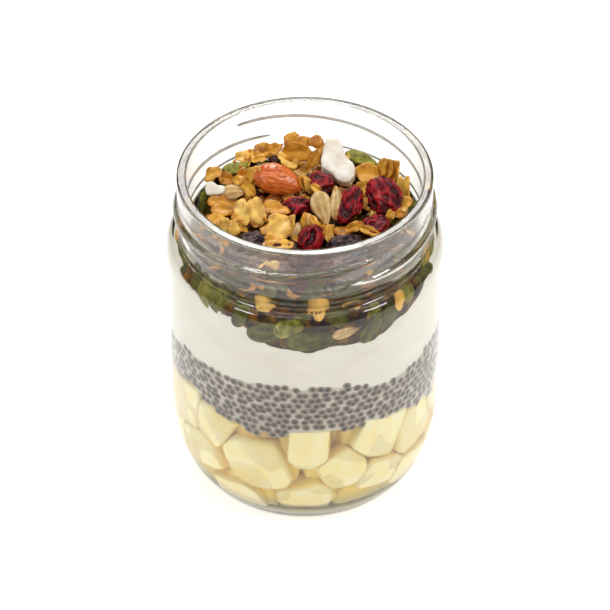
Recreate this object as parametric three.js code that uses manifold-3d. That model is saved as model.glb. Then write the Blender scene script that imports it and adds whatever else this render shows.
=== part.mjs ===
// A screw-neck glass jar of layered chia pudding: diced fruit, chia pudding, yogurt and a granola heap.
// Millimetres, +Z up. The origin is the middle of the jar's base, and the jar's front faces -Y.

import * as THREE from 'three';
import { mergeVertices } from 'three/addons/utils/BufferGeometryUtils.js';
import Module from 'manifold-3d';

const wasm = await Module();
wasm.setup();

// Jar
const JAR_HEIGHT = 114.6;
const BODY_RADIUS = 42.5;
const NECK_RADIUS = 38.5;
const WALL = 3;
const FLOOR = 5.5;
const LIP = WALL / 2;
const BEARING_RING = 3;
const PUNT = 1.5;
const PUNT_KNEE = { radius: 0.7, height: 0.6 };
const ROUND_STEPS = 32;

// Half of the jar's outline, seen from outside and from inside
const OUTSIDE = {
  floor: 0, body: BODY_RADIUS, neck: NECK_RADIUS,
  heelHeight: 29.4, heelDepth: 15.6, shoulder: 87.7, shoulderHeight: 4.8,
};
const INSIDE = {
  floor: FLOOR, body: BODY_RADIUS - WALL, neck: NECK_RADIUS - WALL,
  heelHeight: 25.5, heelDepth: 14.5, shoulder: 86.6, shoulderHeight: 4.6,
};
const HEEL_POWER = 2.13;
const COVE = 1.5;
const HEEL_STEPS = 7;
const SHOULDER_STEPS = 4;
const COVE_STEPS = 2;
const LIP_STEPS = 4;

// Two-start screw thread round the neck, and the low bead under it
const THREAD_START_ANGLES = [-55, 125];
const THREAD_SPAN = 200;
const THREAD_TOP = 107.4;
const THREAD_LEAD = 14;
const THREAD_HEIGHT = 1.4;
const THREAD_HALF_WIDTH = 1.7;
const THREAD_TAPER = 0.08;
const THREAD_TIP = 0.2;
const THREAD_SIDES = 6;
const THREAD_STEPS = 24;
const BEAD_HEIGHT = 0.5;
const BEAD_MIDDLE = 96.2;
const BEAD_HALF_WIDTH = 1.2;

// Food layers: height of each top edge at the wall, every 15 degrees from the front by way of +X
const FRUIT_TOP = [
  46.8, 46.2, 45.2, 45.5, 38.5, 38, 41, 44, 46, 44, 42, 44,
  46, 44.5, 42.5, 44, 46, 45, 44, 46, 51, 47, 44.6, 43.6,
];
const CHIA_TOP = [
  64, 64.5, 60.5, 59.5, 61, 63.5, 64, 63, 62, 61.5, 62.5, 64,
  65, 64, 62, 61, 62, 63.5, 62, 60, 63, 62.3, 63.4, 65,
];
const YOGURT_TOP = [
  79.2, 81.2, 80, 84, 88, 88.5, 88, 87, 86, 85, 84.5, 85,
  86, 86.5, 86, 85, 85.5, 87, 88, 88.5, 88.5, 88, 88, 80.5,
];
const FRUIT_MIDDLE = 44;
const CHIA_MIDDLE = 62;
const YOGURT_MIDDLE = 84;
const HEAP_EDGE = 94.5;
const HEAP_MIDDLE = 97.5;
const LAYER_GAP = 0.4;
const WALL_GAP = 0.4;
const LAYER_RINGS = 3;
const LAYER_STEPS = { round: 36, wall: 2 };
const CORE_STEPS = { round: 24, wall: 4 };
const SPACE_STEPS = { round: 48, wall: 16 };
const FIT_STEP = 0.4;
const FIT_TRIES = 14;

// Diced fruit: [angle, height, width, tallness, roll] of each piece against the glass at the front
const FRONT_DICE = [
  [-152, 38.5, 16, 17, 10], [-136, 38, 13, 15, -12], [-112, 30.5, 18, 20, 12], [-88, 38.5, 11, 18, -4],
  [-73, 27, 13, 13, 16], [-54, 38, 16, 16, -18], [-32, 32, 16, 18, 8], [-90, 18, 15, 10, 6],
  [-55, 22, 12, 10, -14], [-145, 27, 13, 13, 24], [-165, 26, 14, 15, -8],
];
// Rows of dice round the back, and how far the pieces differ
const DICE_ROWS = [{ height: 15, count: 7 }, { height: 27, count: 8 }, { height: 38, count: 8 }];
const DICE_DEPTH = 13;
const DICE_SIZE_SPREAD = 2;
const DICE_ROLL_SPREAD = 20;
const DICE_CORNER_SPREAD = 1;
const DICE_BACK_START = -12;
const DICE_BACK_SPAN = 205;
const FRUIT_CORE_INSET = 3.5;
const FRUIT_RANDOM_START = 11;

// Granola: length, width and thickness of its pieces
const OAT_FLAKE = [8, 6.4, 2];
const PUMPKIN_SEED = [13, 7.4, 3];
const SUNFLOWER_SEED = [10, 5.2, 3.4];
// How much narrower a seed is at its pointed end, and the facets of a piece
const SEED_POINT = 0.55;
const PIECE_SIDES = 6;
const FLAKE_ROWS = 3;
const SEED_ROWS = 4;
// The heap's core, the pieces over it, and the seeds against the glass at heights above the yogurt
const GRANOLA_CORE_INSET = 1.4;
const GRANOLA_RANDOM_START = 23;
const HEAP_FLAKES = 66;
const HEAP_SUNFLOWER_EVERY = 6;
const HEAP_TOP_LIMIT = 106.5;
const HEAP_FLAKE_RISE = 0.7;
const HEAP_FLAKE_TILT = 50;
const HEAP_SPREAD = 0.9;
const GOLDEN_ANGLE = 137.508;
const WALL_SEED_ROWS = [{ above: 4.2, count: 14 }, { above: 9, count: 8 }];
const WALL_SEED_LEAN = { middle: 25, spread: 30 };
const WALL_SEED_SHIFT = 0.2;

// Clusters of oats baked together: middle, radius and number of flakes
const OAT_CLUSTERS = [
  { at: [-1, 25.5, 99.2], radius: 5.5, flakes: 6 },
  { at: [-13, 25, 97], radius: 4, flakes: 4 },
  { at: [-26, 10, 97.5], radius: 4.5, flakes: 4 },
  { at: [-17.5, -1, 98.5], radius: 4.5, flakes: 5 },
  { at: [-7.5, -8.5, 99], radius: 4.5, flakes: 5 },
  { at: [26, 17, 97.4], radius: 4.5, flakes: 4 },
];
// A cluster's core as a share of its radius, how far down its flakes reach, and their tilt
const CLUSTER_CORE = 0.85;
const CLUSTER_COVER = 1.1;
const CLUSTER_FLAKE_TILT = 28;

// Toppings as large as berries: middle, size along its own axes, and turns in degrees: a spin in its own
// plane, then a tilt of its upper side towards the front, then a swing about the jar's axis
const ALMOND = { at: [-8.1, 13.4, 101.2], size: [16, 10.6, 8.4], turn: [-18, 45, 0] };
const CRANBERRIES = [
  { at: [4.9, 14, 99.6], size: [8.6, 7, 6], turn: [-25, 35, 0] },
  { at: [-2.7, 3, 99], size: [10.4, 6.6, 6], turn: [14, 30, 0] },
  { at: [13.4, 2.2, 100.2], size: [13.4, 7.6, 6.8], turn: [66, 46, 0] },
  { at: [24, 6, 101], size: [13.6, 10.4, 6.2], turn: [128, 48, 0] },
  { at: [21.2, -3.4, 97], size: [9.4, 7, 6.2], turn: [20, 20, 0] },
  { at: [1.8, -11.8, 98.8], size: [9.6, 7.4, 7], turn: [60, 35, 0] },
];
const RAISINS = [
  { at: [-16, -10.4, 96.4], size: [9.4, 7.4, 5.8], turn: [20, 10, 0] },
  { at: [12.2, -12.8, 96.8], size: [12.4, 8.2, 6], turn: [8, 10, 0] },
];
const COCONUT_PIECES = [
  { at: [10.4, 22.6, 101], size: [11.2, 15.6, 5.2], turn: [0, 30, 0] },
  { at: [-27.4, 10.3, 100], size: [6.2, 5.6, 3.6], turn: [40, 35, -20] },
];
// Room round each topping, its facets, and the form of the almond's tip and of the wrinkled skins
const TOPPING_GAP = 0.35;
const TOPPING_SIDES = 12;
const ALMOND_ROWS = 8;
const ALMOND_POINT = 0.5;
const BERRY_ROWS = 7;
const BERRY_TWIST = 4;
const BERRY_DENT_RADIUS = 0.3;
const CRANBERRY_SKIN = { wrinkles: [4, 5, 6], depth: 0.07, dent: 0.5 };
const RAISIN_SKIN = { wrinkles: [5, 6], depth: 0.08, dent: 0.2 };

// Coconut outline on a square of side 1: the start, then pairs of a curve's control point and end
const COCONUT_START = [-0.46, -0.19];
const COCONUT_CURVES = [
  [[-0.2, -0.24], [-0.08, -0.4]], [[0.12, -0.54], [0.34, -0.46]], [[0.58, -0.26], [0.4, -0.06]],
  [[0.16, 0], [0.12, 0.3]], [[0, 0.54], [-0.34, 0.46]], [[-0.54, 0.1], [-0.46, -0.19]],
];
const COCONUT_EDGE = 0.08;
const COCONUT_CURVE_STEPS = 3;

// Colour and surface of each material
const FINISHES = {
  glass: { color: 0xe9eeea, roughness: 0.05, metalness: 0, transparent: true, opacity: 0.3 },
  fruit: { color: 0xe9d9a6, roughness: 0.35, metalness: 0 },
  chia: { color: 0x938a80, roughness: 0.4, metalness: 0 },
  yogurt: { color: 0xece9de, roughness: 0.35, metalness: 0 },
  granola: { color: 0xc8944c, roughness: 0.6, metalness: 0 },
  almond: { color: 0xa85a30, roughness: 0.45, metalness: 0 },
  cranberry: { color: 0x7a1d22, roughness: 0.3, metalness: 0 },
  raisin: { color: 0x33262a, roughness: 0.45, metalness: 0 },
  coconut: { color: 0xefe9dd, roughness: 0.4, metalness: 0 },
};

const degrees = THREE.MathUtils.degToRad;
const lerp = THREE.MathUtils.lerp;

// Repeatable random numbers from 0 to 1
function seededRandom(seed) {
  let state = seed;
  return () => {
    state = (state + 0x6d2b79f5) | 0;
    let mixed = Math.imul(state ^ (state >>> 15), 1 | state);
    mixed = (mixed + Math.imul(mixed ^ (mixed >>> 7), 61 | mixed)) ^ mixed;
    return ((mixed ^ (mixed >>> 14)) >>> 0) / 4294967296;
  };
}

// A random number within a spread on either side of zero
const around = (random, spread) => (2 * random() - 1) * spread;

// Moves every vertex of a geometry to where a function of its place says
function reshape(geometry, place) {
  const position = geometry.getAttribute('position');
  for (let i = 0; i < position.count; i++) {
    position.setXYZ(i, ...place(position.getX(i), position.getY(i), position.getZ(i)));
  }
  return geometry;
}

// A closed geometry as a solid that can be joined and cut
function toSolid(geometry) {
  const bare = geometry.clone();
  bare.deleteAttribute('normal');
  bare.deleteAttribute('uv');
  const merged = mergeVertices(bare, 1e-3);
  const vertProperties = merged.getAttribute('position').array;
  const triVerts = new Uint32Array(merged.index.array);
  return new wasm.Manifold(new wasm.Mesh({ numProp: 3, vertProperties, triVerts }));
}

// A solid as a geometry again
function toGeometry(solid) {
  const mesh = solid.getMesh();
  const geometry = new THREE.BufferGeometry();
  geometry.setAttribute('position', new THREE.BufferAttribute(mesh.vertProperties, 3));
  geometry.setIndex(new THREE.BufferAttribute(mesh.triVerts, 1));
  geometry.computeVertexNormals();
  return geometry;
}

// The largest body of a solid, without any scrap that a cut left loose
function largestBody(solid) {
  const bodies = solid.decompose();
  return bodies.reduce((best, body) => (body.volume() > best.volume() ? body : best));
}

// A turned form about +Z: the outline goes from the axis, out, up and back to the axis
function turned(outline, steps) {
  const points = outline.map(([radius, height]) => new THREE.Vector2(radius, height));
  return new THREE.LatheGeometry(points, steps).rotateX(Math.PI / 2);
}

// Points of one side of the glass, from the floor to the foot of the neck
function sideOutline(side) {
  const points = [];
  for (let i = 0; i <= HEEL_STEPS; i++) {
    const turn = (i / HEEL_STEPS) * (Math.PI / 2);
    const inward = 1 - Math.sin(turn) ** (2 / HEEL_POWER);
    const rise = 1 - Math.max(0, Math.cos(turn)) ** (2 / HEEL_POWER);
    points.push([side.body - side.heelDepth * inward, side.floor + side.heelHeight * rise]);
  }
  const ledge = side.neck + COVE;
  const ledgeHeight = side.shoulder + side.shoulderHeight;
  for (let i = 0; i <= SHOULDER_STEPS; i++) {
    const turn = (i / SHOULDER_STEPS) * (Math.PI / 2);
    points.push([
      ledge + (side.body - ledge) * Math.cos(turn),
      side.shoulder + side.shoulderHeight * Math.sin(turn),
    ]);
  }
  for (let i = 1; i <= COVE_STEPS; i++) {
    const turn = (i / COVE_STEPS) * (Math.PI / 2);
    points.push([ledge - COVE * Math.sin(turn), ledgeHeight + COVE * (1 - Math.cos(turn))]);
  }
  return points;
}

// Radius of the jar's inside at a height
function insideRadius(z) {
  const side = INSIDE;
  const ledge = side.neck + COVE;
  const ledgeHeight = side.shoulder + side.shoulderHeight;
  if (z < side.floor + side.heelHeight) {
    const drop = Math.min(1, (side.floor + side.heelHeight - z) / side.heelHeight);
    return side.body - side.heelDepth * (1 - (1 - drop ** HEEL_POWER) ** (1 / HEEL_POWER));
  }
  if (z < side.shoulder) return side.body;
  if (z < ledgeHeight) {
    const rise = (z - side.shoulder) / side.shoulderHeight;
    return ledge + (side.body - ledge) * Math.sqrt(1 - rise ** 2);
  }
  if (z < ledgeHeight + COVE) {
    const left = 1 - (z - ledgeHeight) / COVE;
    return ledge - COVE * Math.sqrt(1 - left ** 2);
  }
  return side.neck;
}

// Bead round the neck, the rounded lip, and both sides of the glass in one outline
function jarOutline() {
  const bearing = OUTSIDE.body - OUTSIDE.heelDepth;
  const base = [
    [0, PUNT],
    [PUNT_KNEE.radius * bearing, PUNT_KNEE.height * PUNT],
    [bearing - BEARING_RING, 0],
  ];
  const bead = [
    [NECK_RADIUS, BEAD_MIDDLE - BEAD_HALF_WIDTH],
    [NECK_RADIUS + BEAD_HEIGHT, BEAD_MIDDLE],
    [NECK_RADIUS, BEAD_MIDDLE + BEAD_HALF_WIDTH],
  ];
  const lip = [];
  for (let i = 0; i <= LIP_STEPS; i++) {
    const turn = (i / LIP_STEPS) * Math.PI;
    lip.push([NECK_RADIUS - LIP + LIP * Math.cos(turn), JAR_HEIGHT - LIP + LIP * Math.sin(turn)]);
  }
  const inside = sideOutline(INSIDE).reverse();
  return [...base, ...sideOutline(OUTSIDE), ...bead, ...lip, ...inside, [0, FLOOR]];
}

// One thread: a rod bent along a falling helix, half sunk in the neck, thin at both ends
function threadRidge(startAngle) {
  const rod = new THREE.CylinderGeometry(1, 1, 1, THREAD_SIDES, THREAD_STEPS);
  const drop = (THREAD_LEAD * THREAD_SPAN) / 360;
  return reshape(rod, (x, y, z) => {
    const along = y + 0.5;
    const angle = degrees(startAngle - along * THREAD_SPAN);
    const swell = Math.max(THREAD_TIP, Math.min(1, along / THREAD_TAPER, (1 - along) / THREAD_TAPER));
    const radius = NECK_RADIUS + x * THREAD_HEIGHT * swell;
    const height = THREAD_TOP - along * drop - z * THREAD_HALF_WIDTH * swell;
    return [radius * Math.cos(angle), radius * Math.sin(angle), height];
  });
}

function jarGeometry() {
  let glass = toSolid(turned(jarOutline(), ROUND_STEPS));
  for (const angle of THREAD_START_ANGLES) {
    glass = glass.add(toSolid(threadRidge(angle)));
  }
  return toGeometry(glass);
}

// Height of a layer's edge at the wall, in a smooth line through its levels
function wallLevel(levels, angle) {
  const turns = (angle + Math.PI / 2) / (2 * Math.PI);
  const place = (turns - Math.floor(turns)) * levels.length;
  const index = Math.floor(place) % levels.length;
  const ease = THREE.MathUtils.smoothstep(place - Math.floor(place), 0, 1);
  return lerp(levels[index], levels[(index + 1) % levels.length], ease);
}

// A layer's surface: its height at a share of the radius and an angle
const surface = (levels, middle) => (share, angle) =>
  lerp(middle, wallLevel(levels, angle), share ** 2);
const raised = (base, lift) => (share, angle) => base(share, angle) + lift;
const level = (height) => () => height;

const fruitTop = surface(FRUIT_TOP, FRUIT_MIDDLE);
const chiaTop = surface(CHIA_TOP, CHIA_MIDDLE);
const yogurtTop = surface(YOGURT_TOP, YOGURT_MIDDLE);
const heapTop = surface([HEAP_EDGE], HEAP_MIDDLE);

// Food that fills the jar between two surfaces, with its edge a gap away from the glass
function fillGeometry(bottom, top, gap, steps) {
  const outline = [];
  for (let i = 0; i <= LAYER_RINGS; i++) outline.push([i / LAYER_RINGS, 0]);
  for (let i = 1; i < steps.wall; i++) outline.push([1, i / steps.wall]);
  for (let i = LAYER_RINGS; i >= 0; i--) outline.push([i / LAYER_RINGS, 1]);
  return reshape(turned(outline, steps.round), (x, y, rise) => {
    const share = Math.hypot(x, y);
    const angle = Math.atan2(y, x);
    const bodyShare = share * (1 - gap / INSIDE.body);
    const z = lerp(bottom(bodyShare, angle), top(bodyShare, angle), rise);
    const radius = share * (insideRadius(z) - gap);
    return [radius * Math.cos(angle), radius * Math.sin(angle), z];
  });
}

// Joins each piece to a heap's core, moved towards its middle until it fits the space, or skipped
function heapOf(core, pieces, space, middle, obstacles) {
  const target = new THREE.Vector3(...middle);
  let heap = core;
  for (const piece of pieces) {
    piece.computeBoundingSphere();
    const step = target.clone().sub(piece.boundingSphere.center).setLength(FIT_STEP);
    for (let i = 0; i < FIT_TRIES; i++) {
      const solid = toSolid(piece);
      const blocked = obstacles.some((obstacle) => !solid.intersect(obstacle).isEmpty());
      if (!blocked && solid.subtract(space).isEmpty()) {
        heap = heap.add(solid);
        break;
      }
      piece.translate(...step.toArray());
    }
  }
  return heap;
}

// One dice of fruit with uneven corners, leaning with the wall that it faces
function diceGeometry(angle, height, width, tall, roll, random) {
  const dice = new THREE.BoxGeometry(DICE_DEPTH, width, tall);
  const corners = new Map();
  reshape(dice, (x, y, z) => {
    const key = [Math.sign(x), Math.sign(y), Math.sign(z)].join();
    const corner = () => [x, y, z].map((value) => value + around(random, DICE_CORNER_SPREAD));
    if (!corners.has(key)) corners.set(key, corner());
    return corners.get(key);
  });
  const lean = Math.atan2(insideRadius(height + tall / 2) - insideRadius(height - tall / 2), tall);
  dice.rotateX(degrees(roll)).rotateY(lean);
  dice.translate(insideRadius(height) - DICE_DEPTH / 2 - WALL_GAP, 0, height);
  return dice.rotateZ(degrees(angle));
}

// Diced fruit: a core with the pieces that show at the glass joined to it
function fruitGeometry() {
  const random = seededRandom(FRUIT_RANDOM_START);
  const floor = level(FLOOR + WALL_GAP);
  const ceiling = raised(fruitTop, -LAYER_GAP / 2);
  const space = toSolid(fillGeometry(floor, ceiling, WALL_GAP, SPACE_STEPS));
  const coreTop = raised(fruitTop, -FRUIT_CORE_INSET / 2);
  const core = toSolid(fillGeometry(floor, coreTop, FRUIT_CORE_INSET, CORE_STEPS));
  const dice = FRONT_DICE.map((place) => diceGeometry(...place, random));
  DICE_ROWS.forEach(({ height, count }, row) => {
    for (let i = 0; i < count; i++) {
      const angle = DICE_BACK_START + (DICE_BACK_SPAN * (i + (row % 2) / 2)) / count;
      const wide = DICE_DEPTH + around(random, DICE_SIZE_SPREAD);
      const tall = DICE_DEPTH + around(random, DICE_SIZE_SPREAD);
      const roll = around(random, DICE_ROLL_SPREAD);
      dice.push(diceGeometry(angle, height, wide, tall, roll, random));
    }
  });
  return toGeometry(heapOf(core, dice, space, [0, 0, FRUIT_MIDDLE / 2], []));
}

function chiaGeometry() {
  const bottom = raised(fruitTop, LAYER_GAP / 2);
  const top = raised(chiaTop, -LAYER_GAP / 2);
  return fillGeometry(bottom, top, WALL_GAP, LAYER_STEPS);
}

function yogurtGeometry() {
  const bottom = raised(chiaTop, LAYER_GAP / 2);
  const top = raised(yogurtTop, -LAYER_GAP / 2);
  return fillGeometry(bottom, top, WALL_GAP, LAYER_STEPS);
}

// A flat oval flake
function flakeGeometry([long, wide, thick]) {
  const flake = new THREE.SphereGeometry(0.5, PIECE_SIDES, FLAKE_ROWS).rotateX(Math.PI / 2);
  return flake.scale(long, wide, thick);
}

// A flat seed that is round at one end and pointed at the other
function seedGeometry([long, wide, thick]) {
  const seed = new THREE.SphereGeometry(0.5, PIECE_SIDES, SEED_ROWS).rotateZ(-Math.PI / 2);
  return reshape(seed, (x, y, z) => {
    const narrow = 1 - SEED_POINT * (x + 0.5) ** 2;
    return [x * long, y * wide * narrow, z * thick * narrow];
  });
}

// Turns a geometry about X, Y and Z in degrees, then moves it to its place
function placed(geometry, at, [turnX, turnY, turnZ]) {
  geometry.rotateX(degrees(turnX)).rotateY(degrees(turnY)).rotateZ(degrees(turnZ));
  return geometry.translate(...at);
}

// Seeds lying against the glass just above the yogurt
function wallSeeds(random) {
  const seeds = [];
  for (const { above, count } of WALL_SEED_ROWS) {
    for (let i = 0; i < count; i++) {
      const turn = (360 * (i + around(random, WALL_SEED_SHIFT))) / count - 90;
      const z = wallLevel(YOGURT_TOP, degrees(turn)) + above;
      const out = insideRadius(z) - WALL_GAP - PUMPKIN_SEED[2] / 2;
      const lean = WALL_SEED_LEAN.middle + around(random, WALL_SEED_LEAN.spread);
      const seed = placed(seedGeometry(PUMPKIN_SEED), [0, 0, 0], [90, lean, 90]);
      seeds.push(seed.translate(out, 0, z).rotateZ(degrees(turn)));
    }
  }
  return seeds;
}

// Flakes and seeds lying at all angles over the heap, spread by the golden angle
function heapPieces(random) {
  const pieces = [];
  for (let i = 0; i < HEAP_FLAKES; i++) {
    const share = Math.sqrt((i + 0.5) / HEAP_FLAKES) * HEAP_SPREAD;
    const angle = degrees(i * GOLDEN_ANGLE);
    const radius = share * INSIDE.neck;
    const height = heapTop(share, angle) + HEAP_FLAKE_RISE;
    const at = [radius * Math.cos(angle), radius * Math.sin(angle), height];
    const tilt = () => around(random, HEAP_FLAKE_TILT);
    const turn = [tilt(), tilt(), around(random, 180)];
    const isSeed = i % HEAP_SUNFLOWER_EVERY === 0;
    const piece = isSeed ? seedGeometry(SUNFLOWER_SEED) : flakeGeometry(OAT_FLAKE);
    pieces.push(placed(piece, at, turn));
  }
  return pieces;
}

// Flakes set all round the upper side of a cluster's core
function clusterPieces({ at, radius, flakes }, random) {
  const core = new THREE.SphereGeometry(CLUSTER_CORE * radius, PIECE_SIDES, SEED_ROWS).translate(...at);
  const pieces = [core];
  const up = new THREE.Vector3(0, 0, 1);
  for (let i = 0; i < flakes; i++) {
    const height = 1 - (CLUSTER_COVER * i) / flakes;
    const angle = degrees(i * GOLDEN_ANGLE);
    const flat = Math.sqrt(1 - height ** 2);
    const outward = new THREE.Vector3(flat * Math.cos(angle), flat * Math.sin(angle), height);
    const tilt = degrees(around(random, CLUSTER_FLAKE_TILT));
    const flake = flakeGeometry(OAT_FLAKE).rotateX(tilt);
    flake.applyQuaternion(new THREE.Quaternion().setFromUnitVectors(up, outward));
    pieces.push(flake.translate(...outward.multiplyScalar(radius).toArray()).translate(...at));
  }
  return pieces;
}

// The granola heap, clear of the glass and the yogurt, with a socket for each topping
function granolaGeometry(toppingSockets) {
  const random = seededRandom(GRANOLA_RANDOM_START);
  const bottom = raised(yogurtTop, LAYER_GAP);
  const space = toSolid(fillGeometry(bottom, level(HEAP_TOP_LIMIT), WALL_GAP, SPACE_STEPS));
  const coreTop = raised(heapTop, -GRANOLA_CORE_INSET);
  const coreGap = WALL_GAP + GRANOLA_CORE_INSET;
  const sockets = toppingSockets.map(toSolid);
  let core = toSolid(fillGeometry(bottom, coreTop, coreGap, CORE_STEPS));
  for (const socket of sockets) core = core.subtract(socket);
  const clusters = OAT_CLUSTERS.flatMap((cluster) => clusterPieces(cluster, random));
  const pieces = [...wallSeeds(random), ...clusters, ...heapPieces(random)];
  const middle = [0, 0, (YOGURT_MIDDLE + HEAP_MIDDLE) / 2];
  return toGeometry(largestBody(heapOf(core, pieces, space, middle, sockets)));
}

// An almond: round at one end, pointed at the other
function almondForm() {
  const form = new THREE.SphereGeometry(0.5, TOPPING_SIDES, ALMOND_ROWS).rotateZ(Math.PI / 2);
  return reshape(form, (x, y, z) => {
    const narrow = 1 - ALMOND_POINT * (x + 0.5) ** 3;
    return [x, y * narrow, z * narrow];
  });
}

// A dried berry: an uneven oval with long wrinkles and a dent on its upper side
function wrinkledForm({ wrinkles, depth, dent }, index) {
  const folds = wrinkles[index % wrinkles.length];
  const form = new THREE.SphereGeometry(0.5, TOPPING_SIDES, BERRY_ROWS).rotateZ(Math.PI / 2);
  return reshape(form, (x, y, z) => {
    const round = Math.atan2(z, y);
    const fold = 1 + depth * Math.cos(folds * round + BERRY_TWIST * x);
    const fromDent = Math.hypot(x, y) / BERRY_DENT_RADIUS;
    const hollow = dent * Math.max(0, 1 - fromDent ** 2) * Math.max(0, z);
    return [x * (1 - depth / 2), y * fold, z * fold - hollow];
  });
}

// A chunk of coconut: a boot-shaped slab with rounded edges
function coconutForm() {
  const outline = new THREE.Shape();
  outline.moveTo(...COCONUT_START);
  for (const [control, end] of COCONUT_CURVES) outline.quadraticCurveTo(...control, ...end);
  const slab = new THREE.ExtrudeGeometry(outline, {
    depth: 1 - 2 * COCONUT_EDGE, steps: 1, curveSegments: COCONUT_CURVE_STEPS,
    bevelEnabled: true, bevelSegments: 1,
    bevelThickness: COCONUT_EDGE, bevelSize: COCONUT_EDGE, bevelOffset: -COCONUT_EDGE,
  });
  return slab.translate(0, 0, COCONUT_EDGE - 0.5);
}

// Spins a geometry in its plane, tilts it to the front, swings it about +Z, then moves it to its place
function laid(geometry, at, [spin, tilt, swing]) {
  geometry.rotateZ(degrees(spin)).rotateX(degrees(tilt)).rotateZ(degrees(swing));
  return geometry.translate(...at);
}

// A topping's own geometry and the larger socket that it lies in
function topping(form, { at, size, turn }) {
  const socketSize = size.map((value) => value + 2 * TOPPING_GAP);
  return {
    geometry: laid(form.clone().scale(...size), at, turn),
    socket: laid(form.clone().scale(...socketSize), at, turn),
  };
}

// One part of the model under its name, with a material of its own
function named(name, geometry, finish) {
  const mesh = new THREE.Mesh(geometry, new THREE.MeshStandardMaterial(FINISHES[finish]));
  mesh.name = name;
  return mesh;
}

// Pieces of one kind, numbered from 1
function numbered(kind, pieces) {
  return pieces.map(({ geometry }, i) => named(`${kind}_${i + 1}`, geometry, kind));
}

const almond = topping(almondForm(), ALMOND);
const cranberries = CRANBERRIES.map((place, i) => topping(wrinkledForm(CRANBERRY_SKIN, i), place));
const raisins = RAISINS.map((place, i) => topping(wrinkledForm(RAISIN_SKIN, i), place));
const coconut = COCONUT_PIECES.map((place) => topping(coconutForm(), place));
const sockets = [almond, ...cranberries, ...raisins, ...coconut].map(({ socket }) => socket);

const jarOfChiaPudding = new THREE.Group();
jarOfChiaPudding.add(
  named('jar', jarGeometry(), 'glass'),
  named('diced_fruit', fruitGeometry(), 'fruit'),
  named('chia_pudding', chiaGeometry(), 'chia'),
  named('yogurt', yogurtGeometry(), 'yogurt'),
  named('granola', granolaGeometry(sockets), 'granola'),
  named('almond', almond.geometry, 'almond'),
  ...numbered('cranberry', cranberries),
  ...numbered('raisin', raisins),
  ...numbered('coconut', coconut),
);

export default jarOfChiaPudding;
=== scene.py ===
import math
from collections import namedtuple

import bpy
import numpy as np
from mathutils import Euler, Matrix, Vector, noise
from mathutils.kdtree import KDTree


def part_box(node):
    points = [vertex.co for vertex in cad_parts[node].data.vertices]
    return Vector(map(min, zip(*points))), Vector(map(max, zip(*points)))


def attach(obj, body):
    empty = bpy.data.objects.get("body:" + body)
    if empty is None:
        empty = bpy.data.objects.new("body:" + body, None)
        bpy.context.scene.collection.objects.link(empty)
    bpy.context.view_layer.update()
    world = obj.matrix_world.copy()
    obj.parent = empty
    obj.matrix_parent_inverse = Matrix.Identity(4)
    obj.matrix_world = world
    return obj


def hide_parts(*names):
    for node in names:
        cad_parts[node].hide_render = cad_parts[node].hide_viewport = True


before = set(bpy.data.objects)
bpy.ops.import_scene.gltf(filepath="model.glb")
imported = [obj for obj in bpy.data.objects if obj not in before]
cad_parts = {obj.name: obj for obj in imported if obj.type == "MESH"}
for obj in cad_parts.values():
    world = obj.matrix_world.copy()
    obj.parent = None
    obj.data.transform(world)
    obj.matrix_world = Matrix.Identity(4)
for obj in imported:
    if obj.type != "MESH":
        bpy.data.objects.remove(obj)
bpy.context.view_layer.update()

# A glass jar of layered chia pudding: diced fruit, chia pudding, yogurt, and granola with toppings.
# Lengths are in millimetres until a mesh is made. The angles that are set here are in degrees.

MM = 0.001
TINY = 1e-6

# Camera at the photo's angle, looking down at the jar's middle
VIEW_DOWN = 41.09
VIEW_DISTANCE = 799.08
VIEW_HEIGHT = 62.13
LENS = 151.18
SENSOR = 36.0

# Starts of the random draws
FRUIT_DRAW = 11
GRANOLA_DRAW = 23
CHIA_PLACE_DRAW = 31
CHIA_SIZE_DRAW = 32

# Jar, with each side of its glass
JAR_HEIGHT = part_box("jar")[1].z / MM
BODY_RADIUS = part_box("jar")[1].x / MM
NECK_STEP = 4.0
WALL = 3.0
FLOOR = 5.5
LIP = WALL / 2
LIP_POWER = 5.0
BEARING_RING = 3.0
PUNT = 1.5
PUNT_POWER = 4
HEEL_POWER = 2.13
COVE = 1.5
Side = namedtuple("Side", "floor body neck heel_height heel_depth shoulder shoulder_height neck_steps")
OUTSIDE = Side(0.0, BODY_RADIUS, BODY_RADIUS - NECK_STEP, 29.4, 15.6, 87.7, 4.8, 64)
INSIDE = Side(FLOOR, BODY_RADIUS - WALL, OUTSIDE.neck - WALL, 25.5, 14.5, 86.6, 4.6, 34)

# Steps of the jar's mesh
JAR_STEPS = 200
BASE_STEPS = 12
HEEL_STEPS = 26
WALL_STEPS = 22
SHOULDER_STEPS = 14
COVE_STEPS = 7
LIP_STEPS = 30

# Waviness of the glass inside the neck, and the share of light that goes straight through the neck
ON_GLASS = 0.01
GLASS_WAVE = 0.07
GLASS_WAVE_SIZE = 14.0
STRAIGHT_SHARE = 0.12

# Two-start screw thread round the neck, and the low bead under it
THREAD_STARTS = (-55, 125)
THREAD_SPAN = 200
THREAD_TOP = 107.4
THREAD_LEAD = 14.0
THREAD_HEIGHT = 1.4
THREAD_HALF_WIDTH = 2.1
THREAD_TAPER = 0.08
THREAD_POWER = 0.8
BEAD_HEIGHT = 0.5
BEAD_MIDDLE = 96.2
BEAD_HALF_WIDTH = 1.5

# How far each food reaches into the glass, so that no air shows between them
FLOOR_CONTACT = 0.05
JUICE_CONTACT = 0.06
GRANOLA_CONTACT = 0.02
YOGURT_CONTACT = 0.12
GEL_CONTACT = 0.16
FRUIT_CONTACT = 0.22
SEED_CONTACT = 0.46
PIECE_CONTACT = 0.2

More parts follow.
